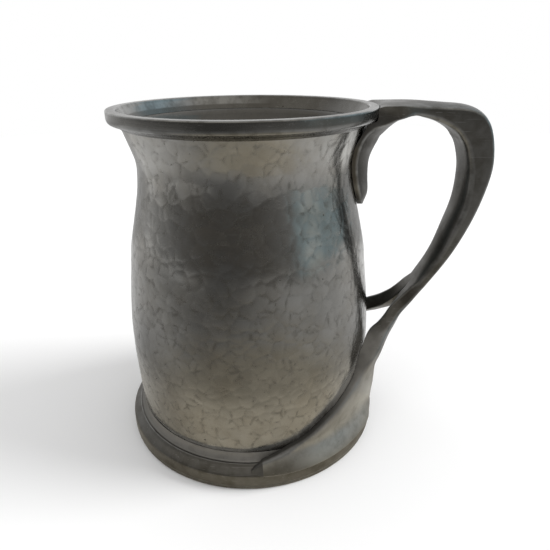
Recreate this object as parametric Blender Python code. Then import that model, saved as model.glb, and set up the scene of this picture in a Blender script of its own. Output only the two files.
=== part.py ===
"""Hammered pewter pint tankard: body shell, base plate, foot ring, rim band and a cast forked handle.

Metres, +Z up. The handle points along +X. The pieces are built round the vessel's axis and then set so that
the origin lies at table level under the middle of the whole tankard.
"""

import math

import bmesh
import bpy
from mathutils import Matrix, Vector

# Fits
SOLDER_GAP = 0.0003  # film of solder between two pieces that touch
CAST_GAP = 0.00038  # the same film behind the cast handle, which follows the round pieces in flats
TURN_STEPS = 72  # flats round every turned piece

# Rim band
RIM_TOP = 0.121  # height of the brim above the table
RIM_RADIUS = 0.0445  # outside of the brim
RIM_FACE = 0.0039  # height of the brim's upright face
RIM_WIDTH = 0.0031  # width of the brim's top
RIM_EDGE = 0.0006  # rounding of the brim's edges
COLLAR_LAP = 0.0008  # how far the rim's collar laps down over the body
COLLAR_WALL = 0.0008

# Body shell
WALL = 0.0016
LIP_DROP = 0.0048  # from the brim down to the body's top edge
LIP_RADIUS = 0.0406
NECK_DROP = 0.0185
NECK_RADIUS = 0.0371
SHOULDER_HEIGHT = 0.0715
SHOULDER_RADIUS = 0.0427
BELLY_HEIGHT = 0.039
BELLY_RADIUS = 0.0455
HEEL_HEIGHT = 0.0145
HEEL_RADIUS = 0.0447
SEAT_HEIGHT = 0.0055  # height of the body's bottom edge
SEAT_RADIUS = 0.0408

# Base plate
BASE_THICKNESS = 0.0018
BASE_LIP = 0.0026  # width of the shelf that carries the base plate
BASE_DISH = 0.0006  # how far the middle of the base plate is sunk

# Foot ring
FOOT_REACH = 0.0083  # how far the foot stands out at the table past the body's bottom edge
FOOT_SWELL = 0.0003  # how much further it swells above the table
FOOT_SHOULDER = 0.0037  # how far down from its top the foot rounds over
FOOT_FLARE = 0.0028  # how much smaller the foot is at its top than at the table
FOOT_HEIGHT = 0.0092
FOOT_BEAD = 0.0009  # width of the bead round the foot's top edge
FOOT_CHAMFER = 0.0005
FOOT_RIM = 0.0046  # width of the face that rests on the table
FOOT_RECESS = 0.0017  # depth of the hollow under the foot
LEDGE_DROP = 0.0006  # how far the ledge lies below the bead

# Handle root, a tongue on the neck under the rim
ROOT_DROP = 0.0334  # from the brim down to the tongue's tip
ROOT_HALF_WIDTH = 0.0133
ROOT_TIP_HALF_WIDTH = 0.0022
ROOT_THICKNESS = 0.0054
ROOT_EDGE = 0.0030  # thickness along the tongue's sides
ROOT_TIP_THICKNESS = 0.0022

GUSSET_REACH = 0.0112  # how far the hollow under the bar runs out past the rim
GUSSET_DROP = 0.0058  # how far that hollow starts below the bar

# Handle grip, a strap from the rim over the bend down to the fork
BAR_RISE = 0.0012  # how far the bar's crown stands above the brim
BAR_THICKNESS = 0.0046
BAR_CROWN = 0.0011
BEND_REACH = 0.0351  # from the outside of the brim to the strap's middle at the bend
BEND_DROP = 0.0185
CORNER_THICKNESS = 0.0106
BEND_THICKNESS = 0.0080
GRIP_THICKNESS = 0.0051
GRIP_HALF_WIDTH = 0.0070
FORK_REACH = 0.0198
FORK_HEIGHT = 0.057
FORK_THICKNESS = 0.0032
FORK_HALF_WIDTH = 0.0050
EDGE_RADIUS = 0.0009  # rounding of the handle's edges

# Handle arms, one on each side below the fork
ARM_THICKNESS = 0.0032
ARM_EDGE = 0.0028  # how far the arm's upper edge stands off the body
ARM_BACK_EDGE = 0.0042  # how far the arm's back edge stands off the body
ARM_FOOT_EDGE = 0.0012  # how far the arm's lower edge stands off the foot
ARM_TIP_EDGE = 0.0006
ARM_SWEEP = 87.0  # degrees round the body from the handle to the arm's tip
ARM_BACK_ANGLE = 17.0  # degrees from the handle to the arm's back edge
ARM_LAND_HEIGHT = 0.0294  # height where the arm's upper edge reaches the body
ARM_FOOT_HEIGHT = 0.0058  # height of the arm's lower edge on the foot
ARM_TIP_HEIGHT = 0.0082
ARM_TWIST = 0.0030  # how far the arm's upper edge ends up above its middle where it meets the body
ARM_DIVE = 1.75  # how much faster the free arm nears the body at first than at last

# Fineness of the handle's mesh
SPAN_STEPS = 3
FACE_SHARES = (0.0, 0.25, 0.5, 0.75)


def lerp(a, b, share):
    return a + (b - a) * share


def hermite(a, b, slope_a, slope_b, span, share):
    """Cubic between two values with a given slope at each end."""
    s2, s3 = share * share, share ** 3
    return (
        a * (2 * s3 - 3 * s2 + 1)
        + b * (3 * s2 - 2 * s3)
        + span * (slope_a * (s3 - 2 * s2 + share) + slope_b * (s3 - s2))
    )


def smooth_curve(points, at):
    """Value at one place of a curve through (place, value) points that never overshoots them."""
    places = [p[0] for p in points]
    at = min(max(at, places[0]), places[-1])
    chords = []
    for (x0, y0), (x1, y1) in zip(points, points[1:]):
        chords.append((y1 - y0) / (x1 - x0))
    slopes = [chords[0]]
    for before, after in zip(chords, chords[1:]):
        turning = before * after <= 0
        slopes.append(0.0 if turning else 2 * before * after / (before + after))
    slopes.append(chords[-1])
    i = max(k for k in range(len(points) - 1) if places[k] <= at)
    span = places[i + 1] - places[i]
    return hermite(points[i][1], points[i + 1][1], slopes[i], slopes[i + 1], span, (at - places[i]) / span)


def through(rows, steps):
    """Rows of numbers on a smooth curve through the given rows, with steps to each span."""
    result = []
    for i in range(len(rows) - 1):
        before = rows[max(i - 1, 0)]
        after = rows[min(i + 2, len(rows) - 1)]
        for step in range(steps):
            share = step / steps
            row = []
            for p0, p1, p2, p3 in zip(before, rows[i], rows[i + 1], after):
                row.append(hermite(p1, p2, (p2 - p0) / 2, (p3 - p1) / 2, 1.0, share))
            result.append(tuple(row))
    result.append(tuple(rows[-1]))
    return result


# Outlines that several pieces share


def body_points():
    """The body's outside as (height, radius), from its bottom edge to its top edge."""
    return (
        (SEAT_HEIGHT, SEAT_RADIUS),
        (HEEL_HEIGHT, HEEL_RADIUS),
        (BELLY_HEIGHT, BELLY_RADIUS),
        (SHOULDER_HEIGHT, SHOULDER_RADIUS),
        (RIM_TOP - NECK_DROP, NECK_RADIUS),
        (RIM_TOP - LIP_DROP, LIP_RADIUS),
    )


def body_radius(height):
    return smooth_curve(body_points(), height)


def foot_radius(height):
    """Outside of the foot, upright at first and rounded over to its top."""
    table = SEAT_RADIUS + FOOT_REACH
    shoulder = FOOT_HEIGHT - FOOT_SHOULDER
    points = (
        (0.0, table),
        (shoulder * 0.5, table + FOOT_SWELL),
        (shoulder, table + FOOT_SWELL),
        (FOOT_HEIGHT, table - FOOT_FLARE),
    )
    return smooth_curve(points, height)


def collar_radius(height):
    return body_radius(height) + SOLDER_GAP + COLLAR_WALL


def stand_radius(height):
    """What the arms lie against: the body, then straight over the foot's rounded top, and the foot."""
    shoulder = FOOT_HEIGHT - FOOT_SHOULDER
    clear = FOOT_HEIGHT + SOLDER_GAP + 0.5 * (HEEL_HEIGHT - SEAT_HEIGHT)
    if height <= shoulder:
        return foot_radius(height) + CAST_GAP
    if height >= clear:
        return body_radius(height) + CAST_GAP
    share = (height - shoulder) / (clear - shoulder)
    return lerp(foot_radius(shoulder), body_radius(clear), share) + CAST_GAP


# Building


def pewter(name, colour, roughness):
    material = bpy.data.materials.new(name)
    material.use_nodes = True
    shader = material.node_tree.nodes["Principled BSDF"]
    shader.inputs["Base Color"].default_value = (*colour, 1.0)
    shader.inputs["Roughness"].default_value = roughness
    shader.inputs["Metallic"].default_value = 1.0
    material.diffuse_color = (*colour, 1.0)
    return material


def finish(name, build, material, parent):
    """Turn a bmesh into a named object with smooth shading and its own material."""
    bmesh.ops.recalc_face_normals(build, faces=build.faces)
    mesh = bpy.data.meshes.new(name)
    build.to_mesh(mesh)
    build.free()
    mesh.shade_smooth()
    mesh.set_sharp_from_angle(angle=math.radians(35))
    mesh.materials.append(material)
    piece = bpy.data.objects.new(name, mesh)
    piece.parent = parent
    bpy.context.scene.collection.objects.link(piece)
    return piece


def turned(outline):
    """Closed ring turned from a closed outline of (radius, height), or a disc where it starts on the axis."""
    build = bmesh.new()
    rings = []
    for radius, height in outline:
        if radius == 0.0:
            rings.append([build.verts.new((0.0, 0.0, height))] * TURN_STEPS)
            continue
        ring = []
        for step in range(TURN_STEPS):
            angle = 2 * math.pi * step / TURN_STEPS
            ring.append(build.verts.new((radius * math.cos(angle), radius * math.sin(angle), height)))
        rings.append(ring)
    for low, high in zip(rings, rings[1:] + rings[:1]):
        for step in range(TURN_STEPS):
            after = (step + 1) % TURN_STEPS
            corners = dict.fromkeys((low[step], low[after], high[after], high[step]))
            if len(corners) > 2:
                build.faces.new(corners)
    return build


def heights(low, high, count):
    return [lerp(low, high, i / (count - 1)) for i in range(count)]


# The turned pieces


def body_shell(parent):
    bottom, top = SEAT_HEIGHT, RIM_TOP - LIP_DROP
    levels = heights(bottom, HEEL_HEIGHT, 4)[:-1]
    levels += heights(HEEL_HEIGHT, SHOULDER_HEIGHT, 6)[:-1]
    levels += heights(SHOULDER_HEIGHT, top, 11)
    outside = [(body_radius(z), z) for z in levels]
    inside = [(body_radius(z) - WALL, z) for z in reversed(levels)]
    material = pewter("hammered_pewter", (0.30, 0.29, 0.26), 0.38)
    return finish("body_shell", turned(outside + inside), material, parent)


def base_plate(parent):
    radius = SEAT_RADIUS - WALL - SOLDER_GAP
    low = SEAT_HEIGHT - BASE_THICKNESS
    outline = [
        (0.0, low - BASE_DISH),
        (radius - BASE_LIP, low),
        (radius, low),
        (radius, SEAT_HEIGHT - SOLDER_GAP),
        (radius - BASE_LIP, SEAT_HEIGHT - SOLDER_GAP),
        (0.0, SEAT_HEIGHT - SOLDER_GAP - BASE_DISH),
    ]
    build = turned(outline)
    return finish("base_plate", build, pewter("base_pewter", (0.26, 0.25, 0.22), 0.45), parent)


def foot_ring(parent):
    ledge = FOOT_HEIGHT - LEDGE_DROP
    body_seat = SEAT_HEIGHT - SOLDER_GAP
    plate_seat = SEAT_HEIGHT - BASE_THICKNESS - SOLDER_GAP
    recess_radius = SEAT_RADIUS - WALL
    inner_radius = recess_radius - SOLDER_GAP - BASE_LIP
    top_radius = foot_radius(FOOT_HEIGHT)
    rest_radius = foot_radius(0.0) - FOOT_CHAMFER
    outline = [(rest_radius - FOOT_RIM, 0.0), (rest_radius, 0.0)]
    for z in heights(FOOT_CHAMFER, FOOT_HEIGHT - FOOT_BEAD / 2, 5):
        outline.append((foot_radius(z), z))
    outline += [
        (top_radius - FOOT_BEAD * 0.25, FOOT_HEIGHT - FOOT_BEAD * 0.1),
        (top_radius - FOOT_BEAD * 0.6, FOOT_HEIGHT),
        (top_radius - FOOT_BEAD, FOOT_HEIGHT - FOOT_BEAD * 0.2),
        (top_radius - FOOT_BEAD - LEDGE_DROP, ledge),
    ]
    for z in heights(ledge, body_seat, 3):
        outline.append((body_radius(z) + SOLDER_GAP, z))
    outline += [
        (recess_radius, body_seat),
        (recess_radius, plate_seat),
        (inner_radius, plate_seat),
        (inner_radius, FOOT_RECESS),
        (rest_radius - FOOT_RIM - FOOT_RECESS * 0.4, FOOT_RECESS),
    ]
    return finish("foot_ring", turned(outline), pewter("foot_pewter", (0.24, 0.23, 0.20), 0.34), parent)


def rim_band(parent):
    lip = RIM_TOP - LIP_DROP
    seat = lip + SOLDER_GAP
    collar_end = lip - COLLAR_LAP
    face_end = RIM_TOP - RIM_FACE
    inner_top = RIM_RADIUS - RIM_WIDTH
    outline = [
        (RIM_RADIUS - RIM_EDGE, RIM_TOP),
        (RIM_RADIUS - RIM_EDGE * 0.3, RIM_TOP - RIM_EDGE * 0.3),
        (RIM_RADIUS, RIM_TOP - RIM_EDGE),
        (RIM_RADIUS, face_end + RIM_EDGE),
        (RIM_RADIUS - RIM_EDGE, face_end),
        (lerp(collar_radius(lip), RIM_RADIUS, 0.45), lerp(seat, face_end, 0.55)),
        (collar_radius(lip), seat),
        (collar_radius(collar_end), collar_end),
        (body_radius(collar_end) + SOLDER_GAP, collar_end),
        (body_radius(lip) + SOLDER_GAP, seat),
        (body_radius(lip) - WALL, seat),
        (inner_top - RIM_EDGE * 0.4, RIM_TOP - RIM_EDGE * 1.4),
        (inner_top, RIM_TOP - RIM_EDGE * 0.4),
        (inner_top + RIM_EDGE, RIM_TOP),
    ]
    return finish("rim_band", turned(outline), pewter("rim_pewter", (0.22, 0.22, 0.21), 0.30), parent)


# The handle


def rounded(before, corner, after, radius):
    """Three points that round one corner between its neighbours."""
    start = corner + (before - corner).normalized() * radius
    end = corner + (after - corner).normalized() * radius
    return [start, (start + end + corner * 2) / 4, end]


def half_ring(outer_face, inner_face):
    """One side of a cross-section: the outer face from the middle out, round the edge, and back in."""
    outer_corner, inner_corner = outer_face[-1], inner_face[-1]
    edge = (outer_corner - inner_corner).length
    radius = min(EDGE_RADIUS, edge * 0.4)
    ring = outer_face[:-1]
    ring += rounded(outer_face[-2], outer_corner, inner_corner, radius)
    ring += rounded(outer_corner, inner_corner, inner_face[-2], radius)
    ring += reversed(inner_face[:-1])
    return ring


def strap_side(row, side):
    """Half of a cross-section of the root or the grip, on the +Y side or the -Y side."""
    inner_x, inner_z, outer_x, outer_z, half_width, inner_crown, outer_crown, wrap = row
    inner, outer = Vector((inner_x, 0, inner_z)), Vector((outer_x, 0, outer_z))
    through_strap = (inner - outer).normalized()
    outer_face, inner_face = [], []
    for share in FACE_SHARES + (1.0,):
        y = share * half_width
        round_body = wrap * (math.sqrt(outer_x ** 2 - y ** 2) - outer_x)
        aside = Vector((round_body, side * y, 0))
        outer_face.append(outer + aside + through_strap * outer_crown * share ** 2)
        inner_face.append(inner + aside - through_strap * inner_crown * share ** 2)
    return half_ring(outer_face, inner_face)


def root_rows():
    """Rows up the tongue from its tip, with its back on the neck."""
    widths = (
        (RIM_TOP - ROOT_DROP, ROOT_TIP_HALF_WIDTH),
        (RIM_TOP - ROOT_DROP * 0.93, ROOT_HALF_WIDTH * 0.36),
        (RIM_TOP - ROOT_DROP * 0.79, ROOT_HALF_WIDTH * 0.60),
        (RIM_TOP - ROOT_DROP * 0.52, ROOT_HALF_WIDTH * 0.86),
        (RIM_TOP - ROOT_DROP * 0.34, ROOT_HALF_WIDTH),
    )
    depths = (
        (RIM_TOP - ROOT_DROP, ROOT_TIP_THICKNESS),
        (RIM_TOP - ROOT_DROP * 0.85, ROOT_THICKNESS * 0.86),
        (RIM_TOP - ROOT_DROP * 0.52, ROOT_THICKNESS),
        (RIM_TOP - ROOT_DROP * 0.34, ROOT_THICKNESS * 1.2),
    )
    rows = []
    for z in heights(widths[0][0], widths[-1][0], 13):
        back = body_radius(z) + CAST_GAP
        depth = smooth_curve(depths, z)
        crown = max(depth - ROOT_EDGE, 0.0)
        rows.append((back + depth, z, back, z, smooth_curve(widths, z), crown, 0.0, 1.0))
    return rows


def gusset_rows():
    """Rows that turn the section from the neck, past the collar and the rim's face, on to the bar."""
    lip = RIM_TOP - LIP_DROP
    under_collar = lip - COLLAR_LAP - CAST_GAP
    under_rim = RIM_TOP - RIM_FACE - CAST_GAP
    crown = ROOT_THICKNESS - ROOT_EDGE
    web = RIM_RADIUS + CAST_GAP
    collar = collar_radius(under_collar) + CAST_GAP
    bar_low = RIM_TOP + BAR_RISE - BAR_THICKNESS
    wide = ROOT_HALF_WIDTH
    over_collar = collar_radius(lip) + CAST_GAP

    def hollow(out, below):
        return (web + GUSSET_REACH * out, bar_low - GUSSET_DROP * below)

    on_bar = (web + GUSSET_REACH * 0.375, RIM_TOP + BAR_RISE * 0.8)
    return [
        (*hollow(0.15, 1.0), collar, under_collar, wide, crown, 0.0, 1.0),
        (*hollow(0.375, 0.655), over_collar, lip - SOLDER_GAP, wide, crown, 0.0, 1.0),
        (*hollow(0.59, 0.26), web, under_rim, wide, crown * 0.5, 0.0, 1.0),
        (*hollow(0.82, 0.035), web, RIM_TOP, wide * 0.97, 0.0, BAR_CROWN * 0.3, 1.0),
        (*hollow(1.0, -0.035), *on_bar, wide * 0.88, 0.0, BAR_CROWN, 0.5),
    ]


def grip_rows():
    """Rows along the strap, square to its middle line, from the bar to the fork."""
    bar_middle = RIM_TOP + BAR_RISE - BAR_THICKNESS / 2
    wide, narrow = GRIP_HALF_WIDTH, FORK_HALF_WIDTH

    def over(out, below):
        return (RIM_RADIUS + BEND_REACH * out, RIM_TOP - BEND_DROP * below)

    def down(inward, below):
        x = RIM_RADIUS + lerp(BEND_REACH, FORK_REACH, inward)
        return (x, lerp(RIM_TOP - BEND_DROP, FORK_HEIGHT, below))

    middle = (
        (RIM_RADIUS + BEND_REACH * 0.36, bar_middle, BAR_THICKNESS, wide * 1.34, BAR_CROWN),
        (*over(0.471, 0.095), BAR_THICKNESS * 1.16, wide * 1.20, BAR_CROWN),
        (*over(0.637, 0.168), CORNER_THICKNESS * 0.68, wide * 1.10, BAR_CROWN),
        (*over(0.771, 0.249), CORNER_THICKNESS * 0.89, wide * 1.05, BAR_CROWN),
        (*over(0.868, 0.368), CORNER_THICKNESS, wide * 1.03, BAR_CROWN),
        (*over(0.931, 0.557), CORNER_THICKNESS * 0.94, wide * 1.01, BAR_CROWN * 0.9),
        (*over(0.977, 0.854), CORNER_THICKNESS * 0.85, wide, BAR_CROWN * 0.8),
        (*over(0.997, 1.146), BEND_THICKNESS, wide, BAR_CROWN * 0.7),
        (*down(0.088, 0.32), GRIP_THICKNESS, wide, BAR_CROWN * 0.5),
        (*down(0.306, 0.54), FORK_THICKNESS * 1.25, wide * 0.93, 0.0),
        (*down(0.545, 0.75), FORK_THICKNESS * 0.95, narrow * 1.15, 0.0),
        (*down(1.0, 1.0), FORK_THICKNESS, narrow, 0.0),
    )
    line = through(middle, SPAN_STEPS)
    rows = []
    for i, (x, z, depth, half_width, crown) in enumerate(line):
        before, after = line[max(i - 1, 0)], line[min(i + 1, len(line) - 1)]
        along = Vector((after[0] - before[0], 0, after[1] - before[1])).normalized()
        outward = Vector((-along.z, 0, along.x)) * depth / 2
        rows.append((x - outward.x, z - outward.z, x + outward.x, z + outward.z, half_width, 0.0, crown, 0.0))
    return rows


def arm_rows():
    """Rows down one arm: upper and back edges as (angle, height, radius), their depths, slope and lean."""
    land, low = ARM_LAND_HEIGHT, ARM_FOOT_HEIGHT
    reach = RIM_RADIUS + FORK_REACH - FORK_THICKNESS / 2 - stand_radius(land)
    drop = land - ARM_TIP_HEIGHT
    sweep, back = ARM_SWEEP, ARM_BACK_ANGLE

    def free(angle, back_angle, share, twist, back_edge, slope, lean):
        z = lerp(land, FORK_HEIGHT, share)
        out = stand_radius(land) + reach * share ** ARM_DIVE
        rise = ARM_TWIST * twist
        return (angle, z + rise, out, back_angle, z - rise, out, ARM_THICKNESS, back_edge, slope, lean)

    def landed(angle, fall, back_angle, back_height, edge, back_edge):
        z = land - drop * fall
        on_body, back_on_body = stand_radius(z), stand_radius(back_height)
        return (angle, z, on_body, back_angle, back_height, back_on_body, edge, back_edge, 0.0, 0.0)

    return [
        free(5.0, 0.7, 0.886, 0.15, ARM_THICKNESS, 36.0, 8.0),
        free(5.8, 1.5, 0.772, 0.33, ARM_THICKNESS, 33.0, 15.0),
        free(6.9, 2.7, 0.685, 0.40, ARM_THICKNESS * 1.05, 29.0, 19.0),
        free(8.4, 4.6, 0.582, 0.47, ARM_THICKNESS * 1.15, 24.0, 19.0),
        free(11.2, 8.6, 0.500, 0.53, ARM_THICKNESS * 1.3, 14.0, 15.0),
        free(14.6, 12.2, 0.425, 0.53, ARM_BACK_EDGE, 9.0, 10.0),
        free(19.5, 15.6, 0.265, 0.73, ARM_BACK_EDGE, 5.0, 5.0),
        free(25.5, 16.8, 0.058, 1.00, ARM_BACK_EDGE, 2.0, 0.0),
        landed(sweep * 0.36, 0.00, back, lerp(land, low, 0.36), ARM_EDGE, ARM_BACK_EDGE),
        landed(sweep * 0.44, 0.10, back, lerp(land, low, 0.70), ARM_EDGE, ARM_BACK_EDGE * 0.9),
        landed(sweep * 0.52, 0.22, back * 1.3, low, ARM_EDGE, ARM_FOOT_EDGE),
        landed(sweep * 0.60, 0.33, sweep * 0.38, low, ARM_EDGE, ARM_FOOT_EDGE),
        landed(sweep * 0.67, 0.45, sweep * 0.53, low, ARM_EDGE, ARM_FOOT_EDGE),
        landed(sweep * 0.74, 0.60, sweep * 0.67, low, ARM_EDGE, ARM_FOOT_EDGE),
        landed(sweep * 0.81, 0.75, sweep * 0.78, low * 0.95, ARM_EDGE, ARM_FOOT_EDGE),
        landed(sweep * 0.87, 0.90, sweep * 0.86, low * 0.87, ARM_EDGE * 0.9, ARM_FOOT_EDGE),
        landed(sweep * 0.945, 0.97, sweep * 0.94, low * 0.78, ARM_EDGE * 0.8, ARM_FOOT_EDGE),
        landed(sweep, 1.00, sweep, low * 0.76, ARM_TIP_EDGE, ARM_TIP_EDGE),
    ]


def arm_side(row, side):
    """Cross-section of one arm, from the back edge's outside round the upper edge to the back edge's inside."""
    angle, height, radius, back_angle, back_height, back_radius, edge, back_edge, slope, lean = row
    off_upper = radius - stand_radius(height)
    off_back = back_radius - stand_radius(back_height)
    tilt = math.radians(slope)
    outer_face, inner_face = [], []
    for share in FACE_SHARES + (1.0,):
        turn = math.radians(lerp(back_angle, angle, share)) * side
        z = lerp(back_height, height, share)
        out = stand_radius(z) + lerp(off_back, off_upper, share)
        depth = lerp(back_edge, edge, share)
        round_axis = Vector((math.cos(turn), math.sin(turn), 0))
        inner = round_axis * out + Vector((0, 0, z))
        inner_face.append(inner)
        leaning = turn + math.radians(lean) * side
        outward = Vector((math.cos(leaning), math.sin(leaning), 0)) * math.cos(tilt)
        outward.z = -math.sin(tilt)
        outer_face.append(inner + outward * depth)
    return half_ring(outer_face, inner_face)


def bridge(build, ring, after):
    count = len(ring)
    for i in range(count):
        j = (i + 1) % count
        build.faces.new((ring[i], ring[j], after[j], after[i]))


def handle(parent):
    build = bmesh.new()

    def points(ring):
        return [build.verts.new(point) for point in ring]

    rings = []
    for row in root_rows() + gusset_rows() + grip_rows():
        right, left = strap_side(row, 1), strap_side(row, -1)
        rings.append(points(right + list(reversed(left))[1:-1]))
    for ring, after in zip(rings, rings[1:]):
        bridge(build, ring, after)
    build.faces.new(rings[0])
    fork = rings[-1]
    half = len(strap_side(grip_rows()[-1], 1))
    halves = {1: fork[:half], -1: [fork[0]] + fork[: half - 2 : -1]}
    for side, ring in halves.items():
        for row in through(arm_rows(), SPAN_STEPS):
            after = points(arm_side(row, side))
            bridge(build, ring, after)
            ring = after
        build.faces.new(ring)
    return finish("handle", build, pewter("handle_pewter", (0.20, 0.20, 0.18), 0.36), parent)


def centre(pieces):
    """Move every piece along X by one amount that puts the middle of the tankard over the origin."""
    reach = [vertex.co.x for piece in pieces for vertex in piece.data.vertices]
    shift = Matrix.Translation((-(min(reach) + max(reach)) / 2, 0, 0))
    for piece in pieces:
        piece.data.transform(shift)


def main():
    for old in list(bpy.data.objects):
        bpy.data.objects.remove(old)
    tankard = bpy.data.objects.new("tankard", None)
    bpy.context.scene.collection.objects.link(tankard)
    makers = (body_shell, base_plate, foot_ring, rim_band, handle)
    centre([make(tankard) for make in makers])


main()
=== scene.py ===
"""Dresses the tankard's frame in pewter.

A hammered body, a turned rim, foot and base, and a cast forked handle, on a white floor.
"""

import math

import bmesh
import bpy
import numpy as np
from bpy.props import FloatProperty, FloatVectorProperty, IntProperty, PointerProperty
from mathutils import Matrix, Vector, kdtree


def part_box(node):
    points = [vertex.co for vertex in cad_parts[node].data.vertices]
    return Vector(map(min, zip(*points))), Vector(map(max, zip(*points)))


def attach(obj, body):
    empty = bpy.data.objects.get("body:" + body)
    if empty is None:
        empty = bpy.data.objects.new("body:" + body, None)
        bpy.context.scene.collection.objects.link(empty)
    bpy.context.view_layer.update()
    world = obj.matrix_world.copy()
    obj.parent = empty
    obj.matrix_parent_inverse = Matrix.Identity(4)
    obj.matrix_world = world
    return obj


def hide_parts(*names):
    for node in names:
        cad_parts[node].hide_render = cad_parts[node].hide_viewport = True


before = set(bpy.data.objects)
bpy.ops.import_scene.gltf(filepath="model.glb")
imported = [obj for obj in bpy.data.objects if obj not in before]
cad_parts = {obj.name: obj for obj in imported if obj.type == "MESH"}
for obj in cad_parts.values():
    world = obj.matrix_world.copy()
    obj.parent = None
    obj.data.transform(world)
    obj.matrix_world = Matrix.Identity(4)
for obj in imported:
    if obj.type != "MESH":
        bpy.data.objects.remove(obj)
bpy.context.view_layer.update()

bl_info = {
    "name": "Hammered pewter tankard",
    "version": (1, 0, 0),
    "blender": (4, 5, 0),
    "location": "View3D > Sidebar > Tankard",
    "description": "Dresses the tankard's frame with hammered, turned and cast pewter on a white sweep",
    "category": "Object",
}

AXIS_X = (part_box("foot_ring")[0].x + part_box("foot_ring")[1].x) / 2
RIM_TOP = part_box("rim_band")[1].z
SEAT_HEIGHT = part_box("body_shell")[0].z
LIP_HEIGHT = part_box("body_shell")[1].z
COLLAR_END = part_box("rim_band")[0].z
FOOT_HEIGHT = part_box("foot_ring")[1].z
PLATE_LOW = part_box("base_plate")[0].z
PLATE_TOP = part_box("base_plate")[1].z
COVE_RISE = 0.0030  # how far the foot's hollow top runs up the body
TOUCH = 0.00004  # hair's breadth kept between two pieces that are soldered together
COLLAR = 0.0011  # how far the rim's collar stands off the body
SHARP = 0.0001  # rounding of an edge that lies against another piece
EDGE_STEPS = 6  # mesh steps round every eased edge
CORNER_ROOM = 0.45  # largest share of a straight that the rounding of a turned corner takes up
POINT_GAP = 0.0006  # largest gap between the points of a turned outline


def length(name, default, description):
    return FloatProperty(
        name=name, description=description, default=default, unit="LENGTH", subtype="DISTANCE", precision=5
    )


def share(name, default, description):
    return FloatProperty(
        name=name, description=description, default=default, min=0.0, max=1.0, subtype="FACTOR"
    )


def number(name, default, description):
    return FloatProperty(name=name, description=description, default=default, min=0.0)


def rotation(name, degrees, description):
    return FloatProperty(
        name=name, description=description, default=math.radians(degrees), unit="ROTATION", subtype="ANGLE"
    )


def step_count(name, default, description, least):
    return IntProperty(name=name, description=description, default=default, min=least)


def colour(name, default, description):
    return FloatVectorProperty(
        name=name, description=description, default=default, size=3, min=0.0, max=1.0, subtype="COLOR"
    )


class TankardShape(bpy.types.PropertyGroup):
    """Sizes of the turned pieces, as in the frame."""

    lip_radius: length("Lip radius", 0.0406, "Outside of the body at its top edge")
    neck_radius: length("Neck radius", 0.0371, "Outside of the body at its narrowest")
    neck_height: length("Neck height", 0.1025, "Height of the narrowest place")
    shoulder_radius: length("Shoulder radius", 0.0427, "Outside of the body at the shoulder")
    shoulder_height: length("Shoulder height", 0.0715, "Height of the shoulder")
    belly_radius: length("Belly radius", 0.0455, "Outside of the body at its widest")
    belly_height: length("Belly height", 0.039, "Height of the widest place")
    heel_radius: length("Heel radius", 0.0447, "Outside of the body above the foot")
    heel_height: length("Heel height", 0.0145, "Height of the heel")
    seat_radius: length("Seat radius", 0.0408, "Outside of the body at its bottom edge")
    wall: length("Wall", 0.0016, "Thickness of the body")
    rim_radius: length("Rim radius", 0.0445, "Outside of the brim")
    rim_width: length("Rim width", 0.0031, "Width of the brim's top")
    rim_face: length("Rim face", 0.0039, "Height of the brim's upright face")
    foot_reach: length("Foot reach", 0.0083, "How far the foot stands out past the body's bottom edge")
    foot_swell: length("Foot swell", 0.0003, "How much further the foot swells above the table")
    foot_shoulder: length("Foot shoulder", 0.0037, "How far down from its top the foot rounds over")
    foot_flare: length("Foot flare", 0.0028, "How much smaller the foot is at its top than at the table")
    foot_bead: length("Foot bead", 0.0009, "Width of the bead round the foot's top edge")
    turn_steps: step_count("Turn steps", 288, "Steps round every turned piece", 72)


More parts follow.
